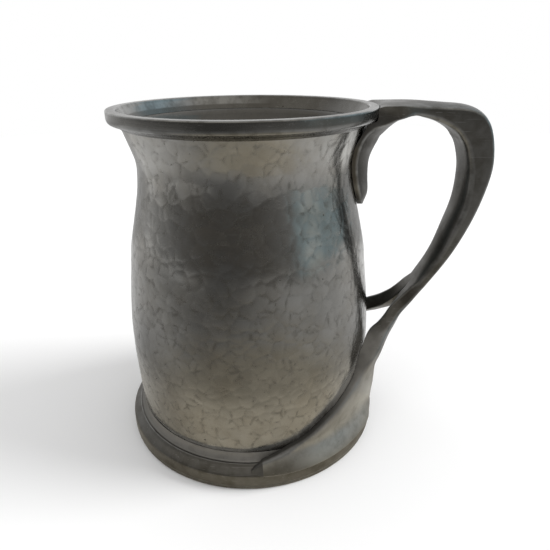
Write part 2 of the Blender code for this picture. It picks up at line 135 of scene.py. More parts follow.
class TankardHandle(bpy.types.PropertyGroup):
    """Sizes of the cast handle: the frame's, with finer rounding."""

    root_drop: length("Root drop", 0.0334, "From the brim down to the tongue's tip")
    root_half_width: length("Root half width", 0.0133, "Half the tongue's width under the rim")
    root_tip_half_width: length("Root tip half width", 0.0022, "Half the tongue's width at its tip")
    root_thickness: length("Root thickness", 0.0054, "Thickness of the tongue")
    root_edge: length("Root edge", 0.0018, "Thickness along the tongue's sides")
    root_tip_thickness: length("Root tip thickness", 0.0022, "Thickness of the tongue's tip")
    gusset_reach: length("Gusset reach", 0.0112, "How far the hollow under the bar runs out past the rim")
    gusset_drop: length("Gusset drop", 0.0058, "How far that hollow starts below the bar")
    bar_rise: length("Bar rise", 0.0012, "How far the bar's crown stands above the brim")
    bar_thickness: length("Bar thickness", 0.0046, "Thickness of the bar")
    bar_crown: length("Bar crown", 0.0011, "How round the bar's top is")
    bend_reach: length("Bend reach", 0.0351, "From the brim to the strap's middle at the bend")
    bend_drop: length("Bend drop", 0.0185, "From the brim down to the bend")
    corner_thickness: length("Corner thickness", 0.0106, "Thickness at the corner")
    bend_thickness: length("Bend thickness", 0.0080, "Thickness at the bend")
    grip_thickness: length("Grip thickness", 0.0051, "Thickness of the grip")
    grip_half_width: length("Grip half width", 0.0070, "Half the grip's width")
    fork_reach: length("Fork reach", 0.0198, "From the brim to the strap's middle at the fork")
    fork_height: length("Fork height", 0.057, "Height of the fork")
    fork_thickness: length("Fork thickness", 0.0032, "Thickness at the fork")
    fork_half_width: length("Fork half width", 0.0050, "Half the strap's width at the fork")
    grip_crown: length("Grip crown", 0.0024, "How round the grip's inner face is")
    edge_radius: length("Edge radius", 0.0009, "Rounding of the handle's outer edges")
    inner_radius: length("Inner radius", 0.0020, "Rounding of the strap's edges on the side of the hand")
    edge_allowance: length("Edge allowance", 0.0003, "What the strap gains for what its rounded edges lose")
    arm_width: length("Arm width", 0.0053, "Width of the free arm")
    arm_roundness: length("Arm roundness", 0.0013, "Rounding of the free arm's edges")
    arm_shoulder: length("Arm shoulder", 0.0050, "How far the arm rounds over towards its upper edge")
    arm_tip_edge: length("Arm tip edge", 0.0006, "Thickness of the arm's tip")
    arm_sweep: number("Arm sweep", 87.0, "From the handle to the arm's tip, in degrees")


class TankardHammering(bpy.types.PropertyGroup):
    """The hammer marks on the body."""

    facet: length("Facet", 0.0034, "Distance from one hammer mark to the next")
    crown: number("Crown", 6.0, "How round each mark is, in 1/m")
    tilt: rotation("Tilt", 1.3, "Largest tilt of a mark")
    offset: length("Offset", 0.000018, "Largest difference in height between marks")
    groove_depth: length("Groove depth", 0.00002, "Depth of the seam between two marks")
    groove_width: length("Groove width", 0.00034, "Width of the seam between two marks")
    wave: length("Wave", 0.00005, "Depth of the slow waves that the hammering leaves")
    tone_spread: share("Tone spread", 0.13, "How much the marks differ in tone")
    # The dry film that spreads from the arms and the foot is dry tarnish and painted crease shade.
    tarnish_and_shade_reach: length("Dry reach", 0.0045, "How far the dry tarnish spreads up from the arms and the foot")
    # Painted sheen: how much brighter the neck's colour is made, standing in for a reflection.
    neck_painted_sheen: share("Neck gain", 0.54, "How much brighter the rubbed neck is")
    inside_tone: share("Inside tone", 0.33, "How bright the dull inside is")
    inside_dry: share("Inside dry", 0.48, "How much of the inside is dry tarnish")
    round_steps: step_count("Round steps", 600, "Mesh steps round the body", 72)
    height_steps: step_count("Height steps", 240, "Mesh steps up the outside", 24)
    seed: IntProperty(name="Seed", description="Picks the layout of the marks", default=7)


class TankardFinish(bpy.types.PropertyGroup):
    """Colours and gloss of the metal."""

    bright: colour("Bright", (0.315, 0.317, 0.31), "Rubbed metal on edges and high places")
    metal: colour("Metal", (0.245, 0.241, 0.228), "The hammered metal")
    tarnish: colour("Tarnish", (0.180, 0.168, 0.145), "Tarnish in blotches on the hammered metal")
    dull: colour("Dull", (0.122, 0.119, 0.111), "The turned and cast metal")
    dull_tarnish: colour("Dull tarnish", (0.072, 0.067, 0.058), "Brown tarnish on the turned and cast metal")
    dirt: colour("Dirt", (0.050, 0.045, 0.038), "What lies in pits and seams")
    # Crust and haze colour the dry film: dry tarnish, and painted shade in the creases where the arms and the
    # foot meet the body.
    crust_and_shade: colour("Crust", (0.032, 0.030, 0.026), "Dry tarnish in hollows that no cloth reaches")
    haze_and_shade: colour("Haze", (0.135, 0.128, 0.114), "Paler dry film in open hollows")
    roughness: share("Roughness", 0.18, "Roughness of the hammered metal")
    dull_roughness: share("Dull roughness", 0.32, "Roughness of the turned and cast metal")


class TankardStage(bpy.types.PropertyGroup):
    """Camera, floor and light."""

    lens: FloatProperty(name="Lens", description="Focal length", default=32.073, unit="CAMERA")
    camera_aside: length("Camera aside", 0.01503, "Camera to the right of the vessel's axis")
    camera_back: length("Camera back", 0.17174, "Camera in front of the vessel's axis")
    camera_height: length("Camera height", 0.1361, "Camera above the table")
    yaw: rotation("Yaw", -1.735, "Turn of the camera")
    pitch: rotation("Pitch", 24.22, "How far the camera looks down")
    roll: rotation("Roll", -0.56, "Lean of the camera")
    floor: colour("Floor", (0.92, 0.92, 0.92), "Colour of the floor")
    key: number("Key light", 2.1, "Strength of the light from the right")
    ambient: number("Ambient", 0.84, "Strength of the light from all round")


# Curves


def lerp(a, b, part):
    return a + (b - a) * part


def hermite(a, b, slope_a, slope_b, span, part):
    """Cubic between two values with a given slope at each end."""
    p2, p3 = part * part, part ** 3
    return (
        a * (2 * p3 - 3 * p2 + 1)
        + b * (3 * p2 - 2 * p3)
        + span * (slope_a * (p3 - 2 * p2 + part) + slope_b * (p3 - p2))
    )


def smooth_curve(points, at):
    """Values of a curve through (place, value) points that never overshoots them."""
    places, values = np.array(points).T
    spans = np.diff(places)
    chords = np.diff(values) / spans
    slopes = np.zeros(len(places))
    slopes[0], slopes[-1] = chords[0], chords[-1]
    for i, (before, after) in enumerate(zip(chords, chords[1:]), 1):
        if before * after > 0:
            slopes[i] = 2 * before * after / (before + after)
    at = np.clip(at, places[0], places[-1])
    i = np.clip(np.searchsorted(places, at, side="right") - 1, 0, len(spans) - 1)
    return hermite(values[i], values[i + 1], slopes[i], slopes[i + 1], spans[i], (at - places[i]) / spans[i])


def smooth_step(value, low, high):
    part = np.clip((value - low) / (high - low), 0.0, 1.0)
    return part * part * (3 - 2 * part)


def through(rows, steps, places):
    """Rows of numbers on a smooth curve through the given rows, with steps to each span.

    The places say how far apart the rows are.
    """
    rows, places = np.array(rows, dtype=float), np.array(places, dtype=float)
    spans = np.sqrt(np.linalg.norm(np.diff(places, axis=0), axis=1))
    chords = np.diff(rows, axis=0) / spans[:, None]
    slopes = [chords[0]]
    for i in range(1, len(spans)):
        slopes.append((chords[i - 1] * spans[i] + chords[i] * spans[i - 1]) / (spans[i - 1] + spans[i]))
    slopes.append(chords[-1])
    result = []
    for i, span in enumerate(spans):
        for step in range(steps):
            result.append(hermite(rows[i], rows[i + 1], slopes[i], slopes[i + 1], span, step / steps))
    result.append(rows[-1])
    return result


def body_radius(height):
    shape = bpy.context.scene.tankard_shape
    points = (
        (SEAT_HEIGHT, shape.seat_radius),
        (shape.heel_height, shape.heel_radius),
        (shape.belly_height, shape.belly_radius),
        (shape.shoulder_height, shape.shoulder_radius),
        (shape.neck_height, shape.neck_radius),
        (LIP_HEIGHT, shape.lip_radius),
    )
    return smooth_curve(points, height)


def foot_radius(height):
    """Outside of the foot, upright at first and rounded over to its top."""
    shape = bpy.context.scene.tankard_shape
    table = shape.seat_radius + shape.foot_reach
    shoulder = FOOT_HEIGHT - shape.foot_shoulder
    points = (
        (0.0, table),
        (shoulder * 0.5, table + shape.foot_swell),
        (shoulder, table + shape.foot_swell),
        (FOOT_HEIGHT, table - shape.foot_flare),
    )
    return smooth_curve(points, height)


# Meshes


def make_piece(name, points, faces, attributes, material, node):
    """One smooth piece that stands for a CAD node and rides on the body."""
    mesh = bpy.data.meshes.new(name)
    mesh.from_pydata(points, [], faces)
    for label, values in attributes.items():
        layer = mesh.attributes.new(label, "FLOAT", "POINT")
        layer.data.foreach_set("value", np.asarray(values, dtype=np.float32).ravel())
    build = bmesh.new()
    build.from_mesh(mesh)
    bmesh.ops.recalc_face_normals(build, faces=build.faces)
    build.to_mesh(mesh)
    build.free()
    mesh.shade_smooth()
    mesh.materials.append(material)
    piece = bpy.data.objects.new(name, mesh)
    bpy.context.scene.collection.objects.link(piece)
    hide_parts(node)
    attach(piece, "root")
    return piece


def ring_faces(rows, columns):
    """Quads of a grid that closes on itself both ways."""
    i = np.arange(rows * columns).reshape(rows, columns)
    beside = np.roll(i, -1, axis=1)
    corners = (i, beside, np.roll(beside, -1, axis=0), np.roll(i, -1, axis=0))
    return np.stack(corners, axis=-1).reshape(-1, 4).tolist()


def curved(start, corner, end):
    """Points that round a corner from start to end, each with how near the edge it is."""
    points = []
    for step in range(EDGE_STEPS + 1):
        part = step / EDGE_STEPS
        point = start * (1 - part) ** 2 + corner * 2 * part * (1 - part) + end * part ** 2
        points.append((point, 4 * part * (1 - part)))
    return points


def eased(corners):
    """Closed outline from (radius, height, rounding) corners, and how near an edge each point is."""
    outline, nearness = [], []
    for i, (r, z, rounding) in enumerate(corners):
        corner = Vector((r, z))
        before = Vector(corners[i - 1][:2]) - corner
        after = Vector(corners[(i + 1) % len(corners)][:2]) - corner
        start = corner + before.normalized() * min(rounding, before.length * CORNER_ROOM)
        end = corner + after.normalized() * min(rounding, after.length * CORNER_ROOM)
        sharpness = min(1.0, 1.0 + before.normalized().dot(after.normalized()))
        for point, near in curved(start, corner, end):
            outline.append(point)
            nearness.append(near * sharpness)
    return spaced(outline, nearness)


def spaced(outline, nearness):
    """The same outline with extra points on its long straights."""
    points, near = [], []
    for i, (point, edge) in enumerate(zip(outline, nearness)):
        after, after_edge = outline[(i + 1) % len(outline)], nearness[(i + 1) % len(outline)]
        count = max(1, math.ceil((after - point).length / POINT_GAP))
        for step in range(count):
            points.append(point.lerp(after, step / count))
            near.append(lerp(edge, after_edge, step / count))
    return np.array(points), np.array(near)


def hand_made(turn, height, amount):
    """Slow unevenness of a hand-made round, never outward."""
    slow = np.sin(2 * turn + 0.7) + 0.6 * np.sin(3 * turn + 90 * height + 2.1)
    slow = slow + 0.4 * np.sin(7 * turn - 160 * height)
    return -amount * (2.0 + slow) / 4.0


def turned_piece(name, corners, material, node, unevenness, inner_edge=0.0, rubbed=0.0, dry=0.0):
    """A ring turned round the vessel's axis from its rounded outline.

    Its upper half within inner_edge can be rubbed on the drinking side or carry the dry film all round, dry
    tarnish and painted crease shade.
    """
    steps = bpy.context.scene.tankard_shape.turn_steps
    outline, near = eased(corners)
    turn = np.linspace(0, 2 * math.pi, steps, endpoint=False)
    radius = outline[:, :1] + hand_made(turn[None, :], outline[:, 1:], unevenness)
    height = np.repeat(outline[:, 1:], steps, axis=1)
    points = np.stack((AXIS_X + radius * np.cos(turn), radius * np.sin(turn), height), axis=-1)
    faces = ring_faces(len(outline), steps)
    inside = (outline[:, :1] < inner_edge) & (outline[:, 1:] > outline[:, 1].mean())
    drinking = smooth_step(-np.cos(turn + 0.5), 0.2, 0.8) * rubbed
    attributes = {"edge": np.maximum(near[:, None], inside * drinking)}
    if dry:
        attributes["dry"] = np.repeat(inside * dry, steps)
    return make_piece(name, points.reshape(-1, 3).tolist(), faces, attributes, material, node)


# Finishes

# Marks on the metal, by how many there are in a metre.
BLOTCHES, MOTTLES, GRAIN = 55.0, 330.0, 3200.0
SCRATCHES, CROSS_SCRATCHES = 2600.0, 2100.0
HOLES, SPECKS, NICKS = 230.0, 620.0, 105.0
SEAM_BREAKS, NICK_BENDS, WORN_PATCHES, EDGE_PATCHES = 300.0, 420.0, 130.0, 240.0
LATHE_RINGS = (6.0, 6.0, 5200.0)
NICK_SHIFT = 0.0022  # how far a nick's outline is bent


def add(tree, kind, inputs=(), **settings):
    """One shader node with its settings, values and links."""
    made = tree.nodes.new("ShaderNode" + kind)
    for name, value in settings.items():
        setattr(made, name, value)
    for key, value in dict(inputs).items():
        if isinstance(value, bpy.types.NodeSocket):
            tree.links.new(value, made.inputs[key])
        else:
            made.inputs[key].default_value = value
    return made


def calc(tree, operation, a, b=0.0, c=0.0):
    return add(tree, "Math", {0: a, 1: b, 2: c}, operation=operation).outputs[0]


def vector(tree, operation, a, b, output="Vector"):
    return add(tree, "VectorMath", {0: a, 1: b}, operation=operation).outputs[output]


def fade(tree, value, low, high, to_low=0.0, to_high=1.0):
    inputs = {"Value": value, "From Min": low, "From Max": high, "To Min": to_low, "To Max": to_high}
    return add(tree, "MapRange", inputs, interpolation_type="SMOOTHSTEP").outputs[0]


def mixed(tree, part, a, b, how="MIX"):
    made = add(tree, "Mix", {0: part, 6: a, 7: b}, data_type="RGBA", blend_type=how)
    return made.outputs[2]


def noise(tree, place, scale, detail=4.0, roughness=0.55):
    inputs = {"Vector": place, "Scale": scale, "Detail": detail, "Roughness": roughness}
    return add(tree, "TexNoise", inputs).outputs[0]


def noise_vector(tree, place, scale, amount):
    """A small random shift in every direction."""
    made = add(tree, "TexNoise", {"Vector": place, "Scale": scale, "Detail": 2.0})
    centred = vector(tree, "SUBTRACT", made.outputs[1], (0.5, 0.5, 0.5))
    return add(tree, "VectorMath", {0: centred, 3: amount}, operation="SCALE").outputs[0]


def stretched(tree, place, scale, turn=(0.0, 0.0, 0.0)):
    return add(tree, "Mapping", {"Vector": place, "Rotation": turn, "Scale": scale}).outputs[0]


def attribute(tree, name):
    return add(tree, "Attribute", attribute_name=name).outputs["Fac"]


def opaque(rgb):
    return (*rgb, 1.0)


def pits(tree, place, scale, rarity, size):
    """Small dark holes: 1 inside a pit, 0 on plain metal."""
    cells = add(tree, "TexVoronoi", {"Vector": place, "Scale": scale, "Randomness": 1.0}, feature="F1")
    chance = add(tree, "SeparateColor", {0: cells.outputs["Color"]}).outputs[0]
    reach = fade(tree, chance, rarity, 1.0, 0.0, size)
    return fade(tree, calc(tree, "SUBTRACT", reach, cells.outputs["Distance"]), 0.0, size * 0.5)


def scratches(tree, place, scale, turn, rarity):
    """Thin straight marks along one direction."""
    along = stretched(tree, place, (scale * 0.02, scale, scale), turn)
    return fade(tree, noise(tree, along, 1.0, 2.0, 0.5), rarity, rarity + 0.05)


def pewter(name, hammered=False, worn=False, rub=0.0, rings=0.0, tarnish=0.5, polish=0.0, filmed=True):
    """Old pewter: tarnish, grain, scratches and pits, with dark seams, rubbed edges or lathe rings."""
    look = bpy.context.scene.tankard_finish
    plain, stained, gloss = look.dull, look.dull_tarnish, look.dull_roughness
    if hammered:
        plain, stained, gloss = look.metal, look.tarnish, look.roughness
    gloss -= polish
    material = bpy.data.materials.new(name)
    material.use_nodes = True
    tree = material.node_tree
    shader = tree.nodes["Principled BSDF"]
    place = add(tree, "TexCoord").outputs["Object"]

    blotch = fade(tree, noise(tree, place, BLOTCHES, 5.0, 0.62), 0.40, 0.66)
    mottle = fade(tree, noise(tree, place, MOTTLES, 4.0, 0.6), 0.35, 0.70)
    grain = noise(tree, place, GRAIN, 3.0, 0.6)
    lines = scratches(tree, place, SCRATCHES, (0.3, 0.5, 0.9), 0.66)
    cross_lines = scratches(tree, place, CROSS_SCRATCHES, (1.2, 0.2, 2.3), 0.68)
    marks = calc(tree, "MAXIMUM", lines, cross_lines)
    holes = pits(tree, place, HOLES, 0.72, 0.10)

    stain = calc(tree, "MULTIPLY", calc(tree, "MULTIPLY_ADD", mottle, 0.35, blotch), tarnish)
    tone = mixed(tree, stain, opaque(plain), opaque(stained))
    tone = mixed(tree, calc(tree, "MULTIPLY", marks, 0.25), tone, opaque(look.bright))
    specks = pits(tree, place, SPECKS, 0.80, 0.12)
    dark = calc(tree, "MULTIPLY", calc(tree, "MAXIMUM", holes, specks), 0.8)
    rough = calc(tree, "MULTIPLY_ADD", stain, 0.10, gloss)
    rough = calc(tree, "MULTIPLY_ADD", grain, 0.08, calc(tree, "SUBTRACT", rough, 0.04))
    relief = calc(tree, "MULTIPLY_ADD", grain, 0.25, calc(tree, "MULTIPLY", holes, -1.5))
    relief = calc(tree, "MULTIPLY_ADD", marks, -0.20, relief)
    if hammered:
        broken = fade(tree, noise(tree, place, SEAM_BREAKS, 3.0, 0.6), 0.42, 0.70, 0.04, 0.48)
        bent = vector(tree, "ADD", place, noise_vector(tree, place, NICK_BENDS, NICK_SHIFT))
        nicks = pits(tree, stretched(tree, bent, (1.0, 1.0, 0.55), (0.4, 0.9, 0.3)), NICKS, 0.86, 0.11)
        dark = calc(tree, "MAXIMUM", dark, nicks)
        dark = calc(tree, "MAXIMUM", dark, calc(tree, "MULTIPLY", attribute(tree, "crevice"), broken))
        tone = mixed(tree, 1.0, tone, attribute(tree, "tone"), "MULTIPLY")
    if worn:
        patchy = fade(tree, noise(tree, place, WORN_PATCHES, 5.0, 0.65), 0.25, 0.60, 0.45, 1.0)
        tone = mixed(tree, calc(tree, "MULTIPLY", attribute(tree, "worn"), patchy), tone, opaque(look.bright))
    if rub:
        patchy = fade(tree, noise(tree, place, EDGE_PATCHES, 3.0, 0.6), 0.30, 0.62, 0.25, 1.0)
        rubbed = calc(tree, "MULTIPLY", attribute(tree, "edge"), patchy)
        tone = mixed(tree, calc(tree, "MULTIPLY", rubbed, rub), tone, opaque(look.bright))
        rough = calc(tree, "MULTIPLY_ADD", rubbed, -0.06 * rub, rough)
    if rings:
        fine = noise(tree, stretched(tree, place, LATHE_RINGS), 1.0, 3.0, 0.6)
        relief = calc(tree, "MULTIPLY_ADD", fine, rings, relief)
        rough = calc(tree, "MULTIPLY_ADD", fine, 0.06, rough)
    shader.inputs["Metallic"].default_value = 1.0
    # The dry film, with less metal in it: dry tarnish and painted crease shade, from haze to crust where
    # deep.
    if filmed:
        dry = calc(tree, "MULTIPLY", attribute(tree, "dry"), fade(tree, mottle, 0.0, 0.5, 0.8, 1.0))
        film = mixed(tree, attribute(tree, "deep"), opaque(look.haze_and_shade), opaque(look.crust_and_shade))
        tone = mixed(tree, dry, tone, film)
        tree.links.new(calc(tree, "MULTIPLY_ADD", dry, -0.9, 1.0), shader.inputs["Metallic"])
    tone = mixed(tree, dark, tone, opaque(look.dirt))
    bump = add(tree, "Bump", {"Strength": 0.35, "Distance": 0.00006, "Height": relief})
    tree.links.new(tone, shader.inputs["Base Color"])
    tree.links.new(calc(tree, "MULTIPLY_ADD", dark, 0.35, rough), shader.inputs["Roughness"])
    tree.links.new(bump.outputs[0], shader.inputs["Normal"])
    return material


# The body

NEAR_MARKS = 6  # hammer marks that can reach any one point
LIP_FADE, FOOT_FADE = 0.0022, 0.0015  # how far the hammering fades out towards the rim and the foot
NECK_FADE = 0.006  # how far the painted sheen on the neck fades out, up and down
BODY_UNEVENNESS, TURNED_UNEVENNESS = 0.00012, 0.00008  # how far a hand-made round is off at most
SOLDER_WIDTH = 0.0006  # how far the dry film, dry tarnish and painted crease shade, is whole beside the solder
INSIDE_DEPTH = 0.3  # how dark the dry tarnish inside is
# Angles from the handle, in degrees, between which the dry film of dry tarnish and painted crease shade
# darkens, pales, and draws in under the arm.
CRUST_AND_SHADE_START, CRUST_AND_SHADE_END, UNDER_ARM = (38.0, 54.0), (84.0, 94.0), (40.0, 60.0)


def hammer_marks(hammer, draw):
    """Places of the hammer marks on the body as angle and height, with a random tilt and offset each."""
    turns, levels = [], []
    row_height = hammer.facet * 0.9
    rows = int((LIP_HEIGHT - SEAT_HEIGHT) / row_height) + 2
    for row in range(-1, rows):
        height = SEAT_HEIGHT + row * row_height
        around = 2 * math.pi * float(body_radius(height))
        count = round(around / hammer.facet)
        start = draw.random()
        aside = (np.arange(count) + start + draw.uniform(-0.38, 0.38, count)) / count
        turns.append(aside * 2 * math.pi)
        levels.append(height + draw.uniform(-0.36, 0.36, count) * row_height)
    turn, level = np.concatenate(turns), np.concatenate(levels)
    tilts = draw.uniform(-1, 1, (2, len(turn))) * math.tan(hammer.tilt)
    offsets = draw.uniform(-1, 1, len(turn)) * hammer.offset
    return turn, level, tilts, offsets


def on_body(turn, height):
    radius = body_radius(height)
    return np.stack((radius * np.cos(turn), radius * np.sin(turn), height), axis=-1)


def hammered(hammer, turn, height):
    """Relief of the hammered outside: depth, seam and mark number at every point of a grid."""
    draw = np.random.default_rng(hammer.seed)
    mark_turn, mark_height, tilts, offsets = hammer_marks(hammer, draw)
    marks = on_body(mark_turn, mark_height)
    tree = kdtree.KDTree(len(marks))
    for i, place in enumerate(marks):
        tree.insert(place, i)
    tree.balance()
    places = on_body(turn, height)
    found = np.array([[hit[1] for hit in tree.find_n(place, NEAR_MARKS)] for place in places])
    aside = (turn[:, None] - mark_turn[found] + math.pi) % (2 * math.pi) - math.pi
    aside *= body_radius(height)[:, None]
    above = height[:, None] - mark_height[found]
    apart2 = ((places[:, None, :] - marks[found]) ** 2).sum(axis=-1)
    rise = offsets[found] + tilts[0][found] * aside + tilts[1][found] * above - hammer.crown * apart2
    order = np.argsort(-rise, axis=1)
    best = np.take_along_axis(rise, order[:, :2], axis=1)
    owner = np.take_along_axis(found, order[:, :2], axis=1)
    between = np.linalg.norm(marks[owner[:, 0]] - marks[owner[:, 1]], axis=-1)
    to_seam = (best[:, 0] - best[:, 1]) / (2 * hammer.crown * between)
    seam = np.exp(-(to_seam / hammer.groove_width) ** 2)
    return best[:, 0] - hammer.offset * 1.5, seam, owner[:, 0], draw.random(len(marks))


def waves(turn, height):
    """Slow waves round and up the body, from -1 to 1."""
    one = np.sin(19 * turn + 310 * height + 1.0)
    two = np.sin(13 * turn - 430 * height + 2.3)
    three = np.sin(27 * turn + 190 * height + 4.1)
    return (one + two + three) / 3.0


def solder_line(aside):
    """Height at which the arms and the foot come to the body, by the angle from the handle in degrees."""
    line = [(row[0], row[2]) for row in ARM_LINE[-4:]] + [(row[0], row[1]) for row in ARM_LANDING]
    line += [(bpy.context.scene.tankard_handle.arm_sweep + 4.0, FOOT_HEIGHT + COVE_RISE)]
    return np.interp(aside, *zip(*line))


class TANKARD_OT_body(bpy.types.Operator):
    """Make the hammered body shell"""

    bl_idname = "tankard.body"
    bl_label = "Hammered body"

    def execute(self, context):
        shape, hammer = context.scene.tankard_shape, context.scene.tankard_hammering
        around, up = hammer.round_steps, hammer.height_steps
        turn = np.linspace(0, 2 * math.pi, around, endpoint=False)
        level = np.linspace(SEAT_HEIGHT, LIP_HEIGHT, up)
        all_turn, all_level = np.tile(turn, up), np.repeat(level, around)
        relief, seam, owner, tones = hammered(hammer, all_turn, all_level)
        edge_fade = np.clip((LIP_HEIGHT - all_level) / LIP_FADE, 0, 1)
        edge_fade *= np.clip((all_level - FOOT_HEIGHT) / FOOT_FADE, 0, 1)
        relief = relief - hammer.groove_depth * seam + hammer.wave * (waves(all_turn, all_level) - 1.0)
        radius = body_radius(all_level) + hand_made(all_turn, all_level, BODY_UNEVENNESS)
        radius += edge_fade * relief
        inside_up = up // 4
        inside_level = np.linspace(LIP_HEIGHT, SEAT_HEIGHT, inside_up)
        inside_turn, inside_level = np.tile(turn, inside_up), np.repeat(inside_level, around)
        inside_radius = body_radius(inside_level) - shape.wall
        radius = np.concatenate((radius, inside_radius))
        turns = np.concatenate((all_turn, inside_turn))
        heights = np.concatenate((all_level, inside_level))
        points = np.stack((AXIS_X + radius * np.cos(turns), radius * np.sin(turns), heights), axis=-1)
        plain = np.zeros(len(inside_turn))
        # Each mark's own random tone, times a painted sheen that brightens the neck in place of a reflection.
        neck = smooth_step(all_level, shape.neck_height - NECK_FADE, shape.neck_height + NECK_FADE)
        tone = (1.0 + hammer.tone_spread * (tones[owner] - 0.5)) * (1.0 + hammer.neck_painted_sheen * neck)
        aside = np.degrees(np.abs((all_turn + math.pi) % (2 * math.pi) - math.pi))
        # A band of dry film along the solder lines of the arms and the foot: dry tarnish and painted shade in
        # the crease.
        deep = smooth_step(aside, *CRUST_AND_SHADE_START) * (1.0 - smooth_step(aside, *CRUST_AND_SHADE_END))
        under_arm = 1.0 - smooth_step(aside, *UNDER_ARM)
        reach = hammer.tarnish_and_shade_reach * (0.6 + 0.4 * deep + under_arm)
        hollow = 1.0 - smooth_step(np.abs(all_level - solder_line(aside)), SOLDER_WIDTH, reach)
        attributes = {
            "crevice": np.concatenate((seam * edge_fade, plain)),
            "dry": np.concatenate((hollow, plain + hammer.inside_dry)),
            "deep": np.concatenate((deep, plain + INSIDE_DEPTH)),
            "tone": np.concatenate((tone, plain + hammer.inside_tone)),
        }
        material = pewter("hammered_pewter", hammered=True, tarnish=0.45)
        faces = ring_faces(up + inside_up, around)
        make_piece("hammered_body", points.tolist(), faces, attributes, material, "body_shell")
        return {"FINISHED"}


# The turned pieces

FOOT_CHAMFER = 0.0005
FOOT_RIM = 0.0046  # width of the face that rests on the table
FOOT_RECESS = 0.0017  # depth of the hollow under the foot
RECESS_SLOPE = 0.0007  # how far the side of that hollow leans in
FOOT_SKIN = 0.0001  # how far the turned band keeps within the foot's outline
BAND_POINTS = 12
PLATE_LIP = 0.0026  # width of the shelf that carries the base plate
PLATE_GAP = 0.0003  # film of solder round the base plate
PLATE_DISH = 0.0006  # how far the middle of the base plate is sunk
PLATE_RINGS = 24


class TANKARD_OT_rim(bpy.types.Operator):
    """Make the turned rim band"""

    bl_idname = "tankard.rim"
    bl_label = "Turned rim"

    def execute(self, context):
        shape = context.scene.tankard_shape
        outer, face_end = shape.rim_radius, RIM_TOP - shape.rim_face
        inner_top = outer - shape.rim_width
        lip, end = float(body_radius(LIP_HEIGHT)), float(body_radius(COLLAR_END))
        corners = (
            (outer, RIM_TOP, 0.0006),
            (outer, face_end, 0.0016),
            (lip + COLLAR, LIP_HEIGHT + 0.0004, 0.0020),
            (end + COLLAR * 0.25, COLLAR_END, 0.0002),
            (end + TOUCH, COLLAR_END, SHARP),
            (lip + TOUCH, LIP_HEIGHT + TOUCH, SHARP),
            (lip - shape.wall, LIP_HEIGHT + TOUCH, 0.0002),
            (inner_top - 0.0003, RIM_TOP - 0.0010, 0.0005),
            (inner_top, RIM_TOP, 0.0005),
        )
        material = pewter("rim_pewter", rub=0.7, rings=0.15, tarnish=0.5, polish=0.10, filmed=False)
        turned_piece(
            "turned_rim", corners, material, "rim_band", TURNED_UNEVENNESS, inner_edge=inner_top, rubbed=1.0
        )
        return {"FINISHED"}


class TANKARD_OT_foot(bpy.types.Operator):
    """Make the turned foot ring"""

    bl_idname = "tankard.foot"
    bl_label = "Turned foot"

    def execute(self, context):
        shape = context.scene.tankard_shape
        bead, top = shape.foot_bead, float(foot_radius(FOOT_HEIGHT))
        cove_top = FOOT_HEIGHT + COVE_RISE
        cove = float(body_radius(cove_top))
        rest = float(foot_radius(0.0)) - FOOT_CHAMFER
        plate = shape.seat_radius - shape.wall - TOUCH
        corners = [
            (rest - FOOT_RIM, 0.0, 0.0004),
            (rest, 0.0, 0.0003),
            (float(foot_radius(0.0006)) - FOOT_SKIN, 0.0006, 0.0003),
            (float(foot_radius(0.0014)) - FOOT_SKIN, 0.0014, 0.0002),
            (float(foot_radius(0.0016)) - 0.0003, 0.0016, 0.0002),
        ]
        for part in np.linspace(0.0, 1.0, BAND_POINTS):
            z = lerp(0.0021, FOOT_HEIGHT - bead, part)
            corners.append((float(foot_radius(z)) - FOOT_SKIN, z, 0.0003))
        corners += [
            (top + bead * 0.45, FOOT_HEIGHT - bead * 0.45, 0.0003),
            (top + bead * 0.10, FOOT_HEIGHT, 0.0005),
            (top - bead * 0.55, FOOT_HEIGHT - bead * 0.1, 0.0004),
            (lerp(top, cove, 0.45), FOOT_HEIGHT - bead * 0.1, 0.0005),
            (lerp(top, cove, 0.80), lerp(FOOT_HEIGHT, cove_top, 0.42), 0.0010),
            (cove + TOUCH * 2, cove_top, SHARP),
            (float(body_radius(FOOT_HEIGHT)) + TOUCH, FOOT_HEIGHT, SHARP),
            (shape.seat_radius + TOUCH, SEAT_HEIGHT - TOUCH, 0.0003),
            (plate, SEAT_HEIGHT - TOUCH, 0.0002),
            (plate, PLATE_LOW, 0.0002),
            (plate - PLATE_LIP, PLATE_LOW, 0.0002),
            (plate - PLATE_LIP, FOOT_RECESS, 0.0002),
            (rest - FOOT_RIM - RECESS_SLOPE, FOOT_RECESS, 0.0004),
        ]
        # The foot's hollow top carries the dry film: dry tarnish and painted shade where it meets the body.
        material = pewter("foot_pewter", rub=0.9, rings=0.08, tarnish=1.0)
        inner_edge = top - bead * 0.6
        turned_piece(
            "turned_foot", corners, material, "foot_ring", TURNED_UNEVENNESS, inner_edge=inner_edge, dry=1.0
        )
        return {"FINISHED"}


